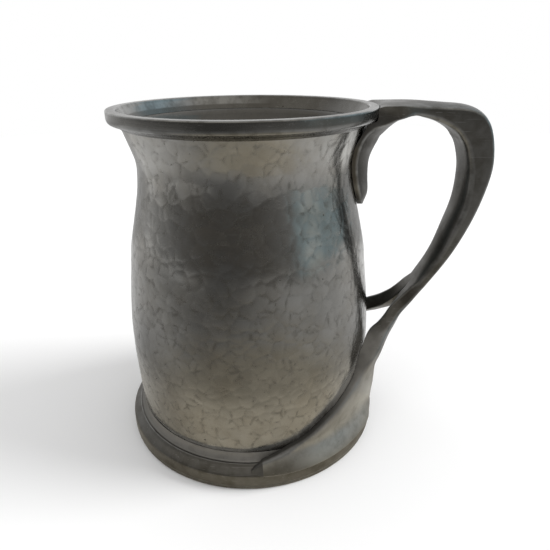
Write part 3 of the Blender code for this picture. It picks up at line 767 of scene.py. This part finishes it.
class TANKARD_OT_base(bpy.types.Operator):
    """Make the dished base plate"""

    bl_idname = "tankard.base"
    bl_label = "Dished base"

    def execute(self, context):
        shape = context.scene.tankard_shape
        steps = shape.turn_steps
        radius = shape.seat_radius - shape.wall - PLATE_GAP
        outward, inward = np.linspace(0, 1, PLATE_RINGS)[1:], np.linspace(1, 0, PLATE_RINGS)[:-1]
        outline = [(radius * part, PLATE_LOW + PLATE_DISH * part ** 2) for part in outward]
        outline += [(radius * part, PLATE_TOP - PLATE_DISH * (1 - part ** 2)) for part in inward]
        points = []
        for r, z in outline:
            for step in range(steps):
                angle = 2 * math.pi * step / steps
                points.append((AXIS_X + r * math.cos(angle), r * math.sin(angle), z))
        faces = ring_faces(len(outline), steps)[: (len(outline) - 1) * steps]
        for height, ring in ((PLATE_LOW, 0), (PLATE_TOP - PLATE_DISH, len(outline) - 1)):
            middle = len(points)
            points.append((AXIS_X, 0.0, height))
            for step in range(steps):
                faces.append((middle, ring * steps + step, ring * steps + (step + 1) % steps))
        material = pewter("base_pewter", tarnish=0.9)
        dry = np.full(len(points), context.scene.tankard_hammering.inside_dry)
        make_piece("dished_base", points, faces, {"dry": dry}, material, "base_plate")
        return {"FINISHED"}


# The handle

# Where the points of a face lie from its middle to its edge, wrapped round the body and free.
FACE_PARTS = (0.0, 0.13, 0.26, 0.39, 0.52, 0.65, 0.78)
STRAP_PARTS = (0.0, 0.11, 0.22, 0.33, 0.43, 0.53, 0.62)
ROW_STEPS = 3  # mesh steps from one row of the strap to the next
ARM_STEPS = 8  # and of an arm
RIM_ROWS = 4  # rows that stand against the collar and the rim
SOFTENING = 10  # passes that smooth the strap's rows
FACE_ROOM, EDGE_ROOM = 0.85, 0.42  # largest share of a face and of an edge that a rounding takes up
TIP_PARTS = (0.04, 0.12, 0.35, 0.65, 1.0)
TIP_DROP, TIP_RISE = 0.0030, 0.0010  # how far the arm's upper and lower edges draw together at its tip
TIP_RUB = 0.3  # how much of the rubbed edge the tip keeps
# Rows of the arm between which it comes to lie on the body, gets rubbed, ends, and gathers the darker film of
# dark tarnish and painted crease shade.
LANDING_ROWS, RUBBED_ROWS = (5.0, 8.0), (6.5, 11.5)
ENDING_ROWS, CRUST_AND_SHADE_ROWS = (14.6, 17.2), (10.0, 13.5)
# How rubbed the arm's face is from its lower edge to its upper one, along the arm and at its tip.
FACE_WEAR = (0.60, 0.85, 1.0, 1.0, 0.95, 0.80, 0.60)
TIP_WEAR = (0.0, 0.0, 0.05, 0.15, 0.35, 0.60, 0.80)
# Middle line of the free arm from the fork down: angle from the handle, radius, height, depth, and fill
# towards the body.
ARM_LINE = (
    (2.7, 0.0619, 0.0541, 0.0042, 0.0),
    (3.2, 0.0595, 0.0510, 0.0046, 0.0),
    (4.3, 0.0573, 0.0483, 0.0048, 0.0),
    (6.2, 0.0553, 0.0461, 0.0048, 0.0),
    (8.4, 0.0538, 0.0442, 0.0048, 0.0),
    (11.5, 0.0521, 0.0420, 0.0047, 0.0006),
    (14.1, 0.0511, 0.0403, 0.0046, 0.0018),
    (17.1, 0.0503, 0.0386, 0.0046, 0.0020),
    (20.4, 0.0496, 0.0367, 0.0046, 0.0016),
    (24.3, 0.0488, 0.0344, 0.0044, 0.0013),
)
# The arm on the body and foot: upper edge's angle and height, back edge's angle and height, and the depth
# at both edges.
ARM_LANDING = (
    (31.3, 0.0302, 17.5, 0.0210, 0.0030, 0.0050),
    (38.3, 0.0267, 17.5, 0.0130, 0.0027, 0.0044),
    (45.2, 0.0235, 22.0, 0.0070, 0.0026, 0.0018),
    (52.2, 0.0210, 33.0, 0.0063, 0.0025, 0.0010),
    (58.3, 0.0182, 46.0, 0.0061, 0.0025, 0.0008),
    (64.4, 0.0157, 58.0, 0.0060, 0.0024, 0.0007),
    (70.5, 0.0139, 68.0, 0.0060, 0.0023, 0.0007),
    (75.7, 0.0126, 75.0, 0.0060, 0.0022, 0.0007),
    (79.8, 0.0117, 79.6, 0.0061, 0.0021, 0.0007),
    (82.2, 0.0111, 82.0, 0.0062, 0.0020, 0.0007),
)


def stand_radius(height):
    """What the arms lie against: the body, then straight over the foot's rounded top, and the foot."""
    shape = bpy.context.scene.tankard_shape
    shoulder = FOOT_HEIGHT - shape.foot_shoulder
    clear = FOOT_HEIGHT + 0.5 * (shape.heel_height - SEAT_HEIGHT)
    if height <= shoulder:
        return float(foot_radius(height))
    if height >= clear:
        return float(body_radius(height))
    part = (height - shoulder) / (clear - shoulder)
    return lerp(float(foot_radius(shoulder)), float(body_radius(clear)), part)


def polar(radius, turn, height):
    return Vector((radius * math.cos(turn), radius * math.sin(turn), height))


def rounded(before, corner, after, lead, trail):
    """Points that round one corner from lead before it to trail after it, as curved gives them."""
    start = corner + (before - corner).normalized() * lead
    end = corner + (after - corner).normalized() * trail
    return curved(start, corner, end)


def fitting(outer_face, inner_face, wanted):
    """Of a wanted rounding, what the faces have room for and what the edge has room for."""
    edge = (outer_face[-1] - inner_face[-1]).length
    room = min((face[-1] - face[-2]).length for face in (outer_face, inner_face))
    return min(wanted, room * FACE_ROOM), min(wanted, edge * EDGE_ROOM)


def half_ring(outer_face, inner_face, outer_radius, inner_radius):
    """One side of a cross-section as (point, edge, face).

    It runs along the outer face from the middle out, round the edge, and back in.
    """
    lead, trail = fitting(outer_face, inner_face, outer_radius)
    inner_radius = min(fitting(outer_face, inner_face, inner_radius))
    outer_edge = rounded(outer_face[-2], outer_face[-1], inner_face[-1], lead, trail)
    inner_edge = rounded(outer_face[-1], inner_face[-1], inner_face[-2], inner_radius, inner_radius)
    ring = [(point, 0.0, 1.0) for point in outer_face[:-1]]
    ring += [(point, edge, 1.0 - i / EDGE_STEPS) for i, (point, edge) in enumerate(outer_edge)]
    ring += [(point, edge, 0.0) for point, edge in inner_edge]
    ring += [(point, 0.0, 0.0) for point in reversed(inner_face[:-1])]
    return ring


def strap_side(row, side):
    """Half of a cross-section of the root or the grip, on the +Y side or the -Y side."""
    inner_x, inner_z, outer_x, outer_z, half_width, inner_crown, outer_crown, wrap = row
    inner, outer = Vector((inner_x, 0, inner_z)), Vector((outer_x, 0, outer_z))
    through_strap = (inner - outer).normalized()
    wrapped = min(max(wrap, 0.0), 1.0)
    outer_face, inner_face = [], []
    for loose, close in zip(STRAP_PARTS + (1.0,), FACE_PARTS + (1.0,)):
        part = lerp(loose, close, wrapped)
        y = part * half_width
        round_body = wrap * (math.sqrt(outer_x ** 2 - y ** 2) - outer_x)
        aside = Vector((round_body, side * y, 0))
        outer_face.append(outer + aside + through_strap * outer_crown * part ** 2)
        inner_face.append(inner + aside - through_strap * inner_crown * part ** 2)
    grip = bpy.context.scene.tankard_handle
    outer_radius = lerp(grip.edge_radius, SHARP, wrapped)
    inner_radius = lerp(grip.inner_radius, grip.edge_radius, wrapped)
    return half_ring(outer_face, inner_face, outer_radius, inner_radius)


def root_rows(grip):
    """Rows up the tongue from its tip, with its back on the neck."""
    drop, wide, thick = grip.root_drop, grip.root_half_width, grip.root_thickness
    widths = (
        (RIM_TOP - drop, grip.root_tip_half_width),
        (RIM_TOP - drop * 0.93, wide * 0.36),
        (RIM_TOP - drop * 0.79, wide * 0.60),
        (RIM_TOP - drop * 0.52, wide * 0.86),
        (RIM_TOP - drop * 0.34, wide),
    )
    depths = (
        (RIM_TOP - drop, grip.root_tip_thickness),
        (RIM_TOP - drop * 0.85, thick * 0.86),
        (RIM_TOP - drop * 0.52, thick),
        (RIM_TOP - drop * 0.34, thick * 1.2),
    )
    rows = []
    for z in np.linspace(widths[0][0], widths[-1][0], 13):
        back = float(body_radius(z)) + TOUCH
        depth = float(smooth_curve(depths, z))
        crown = max(depth - grip.root_edge, 0.0)
        rows.append((back + depth, z, back, z, float(smooth_curve(widths, z)), crown, 0.0, 1.0))
    return rows


def gusset_rows(grip):
    """Rows that turn the section from the neck, past the collar and the rim's face, on to the bar."""
    shape = bpy.context.scene.tankard_shape
    under_rim = RIM_TOP - shape.rim_face
    crown = grip.root_thickness - grip.root_edge
    web = shape.rim_radius + TOUCH
    bar_low = RIM_TOP + grip.bar_rise - grip.bar_thickness
    wide = grip.root_half_width
    under_collar = float(body_radius(COLLAR_END)) + COLLAR + TOUCH
    over_collar = float(body_radius(LIP_HEIGHT)) + COLLAR + TOUCH

    def hollow(out, below):
        return (web + grip.gusset_reach * out, bar_low - grip.gusset_drop * below)

    def on_bar(out, rise):
        return (web + grip.gusset_reach * out, RIM_TOP + grip.bar_rise * rise)

    return [
        (*hollow(0.15, 1.0), under_collar, COLLAR_END, wide, crown, 0.0, 1.0),
        (*hollow(0.34, 0.69), over_collar, LIP_HEIGHT, wide, crown, 0.0, 1.0),
        (*hollow(0.54, 0.24), web, under_rim, wide, crown * 0.5, 0.0, 1.0),
        (*hollow(0.72, -0.04), web, RIM_TOP, wide * 0.97, 0.0, grip.bar_crown * 0.3, 1.0),
        (*hollow(0.84, -0.10), *on_bar(0.28, 0.75), wide * 0.90, 0.0, grip.bar_crown, 0.6),
        (*hollow(0.95, -0.10), *on_bar(0.58, 0.93), wide * 0.82, 0.0, grip.bar_crown, 0.3),
        (*hollow(1.05, -0.08), *on_bar(0.86, 1.0), wide * 0.76, 0.0, grip.bar_crown, 0.1),
    ]


def grip_rows(grip):
    """Rows along the strap, square to its middle line, from the bar to the fork."""
    start = bpy.context.scene.tankard_shape.rim_radius
    wide, narrow, crown = grip.grip_half_width, grip.fork_half_width, grip.bar_crown
    bar, corner, fork = grip.bar_thickness, grip.corner_thickness, grip.fork_thickness

    def over(out, below):
        return (start + grip.bend_reach * out, RIM_TOP - grip.bend_drop * below)

    def down(inward, below):
        x = start + lerp(grip.bend_reach, grip.fork_reach, inward)
        return (x, lerp(RIM_TOP - grip.bend_drop, grip.fork_height, below))

    on_bar = (start + grip.bend_reach * 0.36, RIM_TOP + grip.bar_rise - bar / 2)
    middle = (
        (*on_bar, bar * 0.88, wide * 1.34, crown, 0.0),
        (*over(0.471, 0.095), bar * 1.04, wide * 1.20, crown, 0.0),
        (*over(0.637, 0.168), corner * 0.63, wide * 1.10, crown, 0.0),
        (*over(0.771, 0.249), corner * 0.85, wide * 1.05, crown, 0.0),
        (*over(0.868, 0.368), corner, wide * 1.03, crown, 0.1),
        (*over(0.931, 0.557), corner * 0.94, wide * 1.01, crown * 0.9, 0.2),
        (*over(0.977, 0.854), corner * 0.85, wide, crown * 0.8, 0.4),
        (*over(0.997, 1.146), grip.bend_thickness, wide, crown * 0.7, 0.62),
        (*down(0.088, 0.32), grip.grip_thickness, wide, crown * 0.5, 1.0),
        (*down(0.306, 0.54), fork * 1.25, wide * 0.93, 0.0, 1.0),
        (*down(0.545, 0.75), fork * 0.95, narrow * 1.15, 0.0, 0.9),
        (*down(1.0, 1.0), fork, narrow, 0.0, 0.2),
    )
    line = through(middle, ROW_STEPS, [row[:2] for row in middle])
    rows = []
    for i, (x, z, depth, half_width, dome, inner_part) in enumerate(line):
        before, after = line[max(i - 1, 0)], line[min(i + 1, len(line) - 1)]
        along = Vector((after[0] - before[0], 0, after[1] - before[1])).normalized()
        outward = Vector((-along.z, 0, along.x))
        inner_dome = grip.grip_crown * inner_part
        half_depth = (depth + grip.edge_allowance) / 2
        inner = Vector((x, 0, z)) - outward * (half_depth + inner_dome)
        outer = Vector((x, 0, z)) + outward * half_depth
        half_width += grip.edge_allowance
        rows.append((inner.x, inner.z, outer.x, outer.z, half_width, inner_dome, dome, 0.0))
    return rows


def softened(rows, columns, first):
    """The same rows with the kinks from the first one on smoothed out of some columns."""
    rows = np.array(rows)
    for column in columns:
        line = rows[:, column]
        for _ in range(SOFTENING):
            line[first:-1] = (line[first - 1:-2] + 2 * line[first:-1] + line[first + 1:]) / 4
    return rows


def bar_row(centre, along, depth, width, fill):
    """A row of the free arm: a bar of a given depth and width, filled towards the body."""
    angle, radius, height = centre
    out = polar(1.0, math.radians(angle), 0.0)
    outward = (out - along * out.dot(along)).normalized()
    inner = out * radius + Vector((0, 0, height)) - outward * (depth / 2 + fill)
    upward = outward.cross(along) * width / 2
    upper, back = inner + upward, inner - upward
    lean = math.degrees(math.atan2(outward.y, outward.x)) - angle
    slope = math.degrees(math.asin(-outward.z))
    edges = [(math.degrees(math.atan2(p.y, p.x)), p.z, math.hypot(p.x, p.y)) for p in (upper, back)]
    return (*edges[0], *edges[1], depth + fill, depth + fill, slope, lean)


def arm_rows(grip):
    """Rows down one arm: upper and back edges as (angle, height, radius), their depths, slope and lean."""
    points = [polar(radius, math.radians(angle), height) for angle, radius, height, *_ in ARM_LINE]
    rows = []
    for i, (angle, radius, height, depth, fill) in enumerate(ARM_LINE):
        along = (points[min(i + 1, len(points) - 1)] - points[max(i - 1, 0)]).normalized()
        rows.append(bar_row((angle, radius, height), along, depth, grip.arm_width, fill))
    for angle, height, back_angle, back_height, edge, back_edge in ARM_LANDING:
        upper, back = stand_radius(height), stand_radius(back_height)
        rows.append((angle, height, upper, back_angle, back_height, back, edge, back_edge, 0.0, 0.0))
    return rows


def arm_tip(grip, last, part):
    """The blunt end past the last row, cut down to a thin edge."""
    angle, height, _, _, back_height, _, edge, back_edge, slope, lean = last
    turn = lerp(angle, grip.arm_sweep, part)
    thin = lerp(1.0, grip.arm_tip_edge / edge, part)
    top, low = height - TIP_DROP * part, back_height + TIP_RISE * part
    places = (turn, top, stand_radius(top), turn, low, stand_radius(low))
    return (*places, edge * thin, back_edge * thin, slope, lean)


def arm_places(rows):
    """Where the upper and back edges of an arm's rows are."""
    places = []
    for angle, height, radius, back_angle, back_height, back_radius, *_ in rows:
        turn, back_turn = math.radians(angle), math.radians(back_angle)
        upper = (radius * math.cos(turn), radius * math.sin(turn), height)
        back = (back_radius * math.cos(back_turn), back_radius * math.sin(back_turn), back_height)
        places.append(upper + back)
    return places


def arm_side(row, side, softness, landing, ending):
    """Cross-section of one arm as (point, edge, face, wear).

    Its back edge is rounded by softness and its inner edge less and less from the landing on.
    """
    angle, height, radius, back_angle, back_height, back_radius, edge, back_edge, slope, lean = row
    off_upper = radius - stand_radius(height)
    off_back = back_radius - stand_radius(back_height)
    tilt = math.radians(slope)
    outer_face, inner_face = [], []
    for part in FACE_PARTS + (1.0,):
        turn = math.radians(lerp(back_angle, angle, part)) * side
        z = lerp(back_height, height, part)
        out = stand_radius(z) + TOUCH + lerp(off_back, off_upper, part)
        inner = polar(out, turn, z)
        outward = polar(1.0, turn + math.radians(lean) * side, 0.0) * math.cos(tilt)
        outward.z = -math.sin(tilt)
        inner_face.append(inner)
        outer_face.append(inner + outward * lerp(back_edge, edge, part))
    grip = bpy.context.scene.tankard_handle
    wanted = grip.arm_roundness
    shoulder = lerp(wanted, grip.arm_shoulder, landing)
    ring = half_ring(outer_face, inner_face, shoulder, lerp(wanted, SHARP, landing))
    radius = min(fitting(outer_face[1::-1], inner_face[1::-1], wanted)) * softness
    head = rounded(inner_face[0], outer_face[0], outer_face[1], radius, radius)
    tail = rounded(inner_face[1], inner_face[0], outer_face[0], radius, radius)
    wears = [lerp(along, at_tip, ending) for along, at_tip in zip(FACE_WEAR, TIP_WEAR)]
    wears = [wears[0]] * len(head) + wears[1:]
    faced = [(*place, 1.0) for place in head] + ring[1:-1] + [(*place, 0.0) for place in tail]
    wears += [wears[-1]] * (len(faced) - len(wears))
    return [(point, edge, face, face * wear) for (point, edge, face), wear in zip(faced, wears)]


def cast_handle(grip):
    """Points and faces of the whole handle round the vessel's axis, with the attributes of each point."""
    points, faces = [], []
    marks = {"edge": [], "worn": [], "dry": [], "deep": []}

    def ring_of(section, wear, dry, deep):
        first = len(points)
        for point, edge, face, worn in section:
            points.append(tuple(point))
            marks["edge"].append(edge * lerp(1.0, face, dry))
            marks["worn"].append(wear * worn)
            marks["dry"].append(dry * (1.0 - face))
            marks["deep"].append(deep)
        return list(range(first, len(points)))

    def bridge(ring, after):
        for i in range(len(ring)):
            j = (i + 1) % len(ring)
            face = tuple(dict.fromkeys((ring[i], ring[j], after[j], after[i])))
            if len(face) > 2:
                faces.append(face)

    rows = root_rows(grip) + gusset_rows(grip) + grip_rows(grip)
    rows = through(rows, ROW_STEPS, [row[:4] for row in rows])
    on_neck = len(root_rows(grip)) * ROW_STEPS
    rows = softened(rows, (0, 1, 4), on_neck)
    rows = softened(rows, (2, 3, 5, 6, 7), on_neck + RIM_ROWS * ROW_STEPS)
    rings = []
    for row in rows:
        right, left = strap_side(row, 1), strap_side(row, -1)
        rings.append(ring_of([(*place, 0.0) for place in right + left[-2:0:-1]], 0.0, 0.0, 0.0))
    for ring, after in zip(rings, rings[1:]):
        bridge(ring, after)
    faces.append(rings[0])
    half = len(strap_side(rows[-1], 1))
    arm = arm_rows(grip)
    arm = through(arm, ARM_STEPS, arm_places(arm))
    ended = len(arm)
    arm += [arm_tip(grip, arm[-1], part) for part in TIP_PARTS]
    for side in (1, -1):
        ring = fork_ring(rings[-1], half, side)
        for i, row in enumerate(arm):
            station = i / ARM_STEPS
            stretches = (LANDING_ROWS, RUBBED_ROWS, ENDING_ROWS, CRUST_AND_SHADE_ROWS)
            landing, wear, ending, deep = (float(smooth_step(station, *rows)) for rows in stretches)
            section = arm_side(row, side, min(1.0, station + 1 / ARM_STEPS), landing, ending)
            if i >= ended:
                section = [(point, edge * TIP_RUB, 0.0, 0.0) for point, edge, *_ in section]
            # From the landing on, the arm's sides off its outer face carry the dry film: dry tarnish and
            # painted crease shade.
            after = ring_of(section, wear, landing, deep)
            bridge(ring, after)
            ring = after
        faces.append(ring)
    return points, faces, marks


def fork_ring(ring, half, side):
    """Half of the strap's last ring, its two middle points repeated to match an arm's rounded back edge."""
    part = ring[:half] if side == 1 else [ring[0]] + ring[: half - 2 : -1]
    return [part[0]] * (EDGE_STEPS + 1) + part[1:-1] + [part[-1]] * (EDGE_STEPS + 1)


class TANKARD_OT_handle(bpy.types.Operator):
    """Make the cast handle"""

    bl_idname = "tankard.handle"
    bl_label = "Cast handle"

    def execute(self, context):
        points, faces, marks = cast_handle(context.scene.tankard_handle)
        points = np.array(points) + (AXIS_X, 0.0, 0.0)
        # The arms' tips would stand a fiftieth of a millimetre past the frame's handle.
        low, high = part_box("handle")
        points = np.clip(points, low, high)
        material = pewter("handle_pewter", worn=True, rub=0.6, tarnish=0.9)
        make_piece("cast_handle", points.tolist(), faces, marks, material, "handle")
        return {"FINISHED"}


# The stage

FLOOR_RADIUS = 0.9
KEY_SOFTNESS, KEY_HEIGHT = math.radians(28), math.radians(36)
CLIP_START = 0.001
WHITE = (1.0, 1.0, 1.0, 1.0)
# What the metal sees of the floor, by the distance from a dim place in front on the left.
DIM_X, DIM_Y, DIM_RIGHT = AXIS_X - 0.20, -0.40, AXIS_X + 0.17
FLOOR_TONES = (
    (0.12, 0.16), (0.20, 0.22), (0.28, 0.32), (0.33, 0.38),
    (0.39, 0.49), (0.47, 0.57), (0.54, 0.68), (0.65, 0.92),
)
# What it sees of the walls, from behind to in front.
WALL_TONES = ((0.30, 1.0), (0.58, 0.58), (0.70, 0.37), (0.80, 0.29), (0.88, 0.21), (0.95, 0.15), (1.0, 0.12))
# Windows and a bright patch in the walls: heading, edge, lowest and highest level, colour.
WINDOWS = (
    ((0.99, 0.02), (0.72, 0.82), (-0.22, 0.45), (0.52, 0.67, 0.74, 1.0)),
    ((0.9, 0.43), (0.55, 0.85), (0.42, 0.80), (0.66, 0.84, 0.95, 1.0)),
    ((0.934, -0.358), (0.982, 0.992), (-0.10, 0.02), (0.92, 1.0, 1.0, 1.0)),
)
WINDOW_EDGE = 0.06  # how softly a window ends at its top and sill


class TANKARD_OT_stage(bpy.types.Operator):
    """Make the floor, the light and the camera"""

    bl_idname = "tankard.stage"
    bl_label = "Stage"

    def execute(self, context):
        stage = context.scene.tankard_stage
        make_floor(stage)
        make_world(stage)
        make_key(stage)
        make_camera(stage)
        context.scene.view_settings.view_transform = "Standard"
        return {"FINISHED"}


def make_floor(stage):
    build = bmesh.new()
    bmesh.ops.create_circle(build, cap_ends=True, segments=96, radius=FLOOR_RADIUS)
    mesh = bpy.data.meshes.new("floor")
    build.to_mesh(mesh)
    build.free()
    material = bpy.data.materials.new("white_floor")
    material.use_nodes = True
    tree = material.node_tree
    shader = tree.nodes["Principled BSDF"]
    shader.inputs["Roughness"].default_value = 0.9
    shader.inputs["Specular IOR Level"].default_value = 0.0
    place = add(tree, "NewGeometry").outputs["Position"]

    def away(x, y, spot=place):
        return vector(tree, "DISTANCE", spot, (x, y, 0.0), "Value")

    # Floor further off than these is as bright as at them, so that the metal shows no horizon.
    nearer = vector(tree, "MAXIMUM", place, (-9.0, DIM_Y, 0.0))
    nearer = vector(tree, "MINIMUM", nearer, (DIM_RIGHT, 9.0, 0.0))
    ramp = add(tree, "ValToRGB", {0: away(DIM_X, DIM_Y, nearer)})
    set_ramp(ramp, FLOOR_TONES)
    # Painted light and shade on the floor that only reflections see: a dim pool in front, paler patches, a
    # bright ring round the foot, grey behind and a warm bounce in front.
    pale = fade(tree, away(AXIS_X - 0.42, -0.33), 0.24, 0.06, 0.0, 0.8)
    far = mixed(tree, pale, ramp.outputs[0], (0.60, 0.60, 0.60, 1.0))
    beside = fade(tree, away(AXIS_X - 0.19, 0.0), 0.15, 0.04, 0.0, 0.4)
    far = mixed(tree, beside, far, (0.92, 0.92, 0.92, 1.0))
    aside, back, _ = add(tree, "SeparateXYZ", {0: place}).outputs
    nearby = fade(tree, aside, AXIS_X, AXIS_X + 0.06, 0.86, 1.0)
    seen = mixed(tree, fade(tree, away(AXIS_X, 0.0), 0.098, 0.066), far, nearby)
    behind = fade(tree, back, 0.165, 0.25)
    seen = mixed(tree, behind, seen, (0.45, 0.45, 0.45, 1.0))
    warm = fade(tree, away(AXIS_X + 0.01, -0.09), 0.17, 0.05)
    seen = mixed(tree, warm, seen, (1.0, 0.92, 0.76, 1.0), "MULTIPLY")
    glossy = add(tree, "LightPath").outputs["Is Glossy Ray"]
    tree.links.new(mixed(tree, glossy, opaque(stage.floor), seen), shader.inputs["Base Color"])
    mesh.materials.append(material)
    floor = bpy.data.objects.new("floor", mesh)
    floor.location.x = AXIS_X
    bpy.context.scene.collection.objects.link(floor)


def set_ramp(ramp, tones):
    """Grey stops of a ramp from (place, tone) pairs."""
    stops = ramp.color_ramp.elements
    while len(stops) > 1:
        stops.remove(stops[-1])
    stops[0].position = tones[0][0]
    for place, tone in tones[1:]:
        stops.new(place)
    for stop, (place, tone) in zip(stops, tones):
        stop.color = (tone, tone, tone, 1.0)


def make_world(stage):
    """White to the camera; to the metal a pale room, dim in front, with cool windows at the right."""
    world = bpy.data.worlds.new("studio")
    bpy.context.scene.world = world
    world.use_nodes = True
    tree = world.node_tree
    background = tree.nodes["Background"]
    way = add(tree, "TexCoord").outputs["Generated"]

    def facing(x, y):
        return vector(tree, "DOT_PRODUCT", way, Vector((x, y, 0.0)).normalized(), "Value")

    front = add(tree, "MapRange", {"Value": facing(-0.25, -0.97), "From Min": -1.0}).outputs[0]
    ramp = add(tree, "ValToRGB", {0: front})
    set_ramp(ramp, WALL_TONES)
    dim = mixed(tree, fade(tree, front, 0.80, 0.97), ramp.outputs[0], (1.0, 0.93, 0.84, 1.0), "MULTIPLY")
    level = add(tree, "SeparateXYZ", {0: way}).outputs[2]
    ceiling = fade(tree, level, 0.12, 0.50, 0.0, 0.70)
    above = mixed(tree, ceiling, (0.0, 0.0, 0.0, 1.0), (1.0, 0.96, 0.89, 1.0))
    room = mixed(tree, 1.0, dim, above, "LIGHTEN")
    room = mixed(tree, 1.0, room, fade(tree, level, 0.14, -0.02, 0.0, 0.18), "LIGHTEN")

    for heading, edge, (low, high), tint in WINDOWS:
        around = fade(tree, facing(*heading), *edge)
        below_top = fade(tree, level, high + WINDOW_EDGE, high)
        above_sill = fade(tree, level, low - WINDOW_EDGE, low)
        inside = calc(tree, "MULTIPLY", around, calc(tree, "MULTIPLY", below_top, above_sill))
        room = mixed(tree, inside, room, tint)
    path = add(tree, "LightPath").outputs
    seen = calc(tree, "MAXIMUM", path["Is Camera Ray"], path["Is Transmission Ray"])
    light = mixed(tree, path["Is Glossy Ray"], (stage.ambient,) * 3 + (1.0,), room)
    tree.links.new(mixed(tree, seen, light, WHITE), background.inputs["Color"])


def make_key(stage):
    lamp = bpy.data.lights.new("key", "SUN")
    lamp.energy = stage.key
    lamp.angle = KEY_SOFTNESS
    key = bpy.data.objects.new("key", lamp)
    key.visible_glossy = False
    towards = Vector((-math.cos(KEY_HEIGHT), -0.06, -math.sin(KEY_HEIGHT)))
    key.rotation_euler = towards.to_track_quat("-Z", "Y").to_euler()
    bpy.context.scene.collection.objects.link(key)


def make_camera(stage):
    camera = bpy.data.cameras.new("camera")
    camera.sensor_width = 36.0
    camera.lens = stage.lens
    camera.clip_start = CLIP_START
    flat = math.cos(stage.pitch)
    forward = Vector((math.sin(stage.yaw) * flat, math.cos(stage.yaw) * flat, -math.sin(stage.pitch)))
    level = forward.cross(Vector((0, 0, 1))).normalized()
    upright = level.cross(forward)
    right = level * math.cos(stage.roll) + upright * math.sin(stage.roll)
    up = upright * math.cos(stage.roll) - level * math.sin(stage.roll)
    place = Vector((AXIS_X + stage.camera_aside, -stage.camera_back, stage.camera_height))
    seat = bpy.data.objects.new("camera", camera)
    seat.matrix_world = Matrix((right, up, -forward)).transposed().to_4x4()
    seat.location = place
    bpy.context.scene.collection.objects.link(seat)
    bpy.context.scene.camera = seat


class TANKARD_PT_panel(bpy.types.Panel):
    """Lists the pieces and their sizes"""

    bl_label = "Tankard"
    bl_idname = "TANKARD_PT_panel"
    bl_space_type = "VIEW_3D"
    bl_region_type = "UI"
    bl_category = "Tankard"

    def draw(self, context):
        for operator in OPERATORS:
            self.layout.operator(operator.bl_idname)
        for label in GROUPS:
            box = self.layout.box()
            group = getattr(context.scene, label)
            for name in group.__annotations__:
                box.prop(group, name)


GROUPS = {
    "tankard_shape": TankardShape,
    "tankard_handle": TankardHandle,
    "tankard_hammering": TankardHammering,
    "tankard_finish": TankardFinish,
    "tankard_stage": TankardStage,
}
OPERATORS = (
    TANKARD_OT_body,
    TANKARD_OT_rim,
    TANKARD_OT_foot,
    TANKARD_OT_base,
    TANKARD_OT_handle,
    TANKARD_OT_stage,
)


def register():
    for label, group in GROUPS.items():
        bpy.utils.register_class(group)
        setattr(bpy.types.Scene, label, PointerProperty(type=group))
    for kind in (*OPERATORS, TANKARD_PT_panel):
        bpy.utils.register_class(kind)


def unregister():
    for kind in (TANKARD_PT_panel, *reversed(OPERATORS)):
        bpy.utils.unregister_class(kind)
    for label, group in reversed(GROUPS.items()):
        delattr(bpy.types.Scene, label)
        bpy.utils.unregister_class(group)


def main():
    register()
    bpy.ops.tankard.body()
    bpy.ops.tankard.rim()
    bpy.ops.tankard.foot()
    bpy.ops.tankard.base()
    bpy.ops.tankard.handle()
    bpy.ops.tankard.stage()


if __name__ == "__main__":
    main()
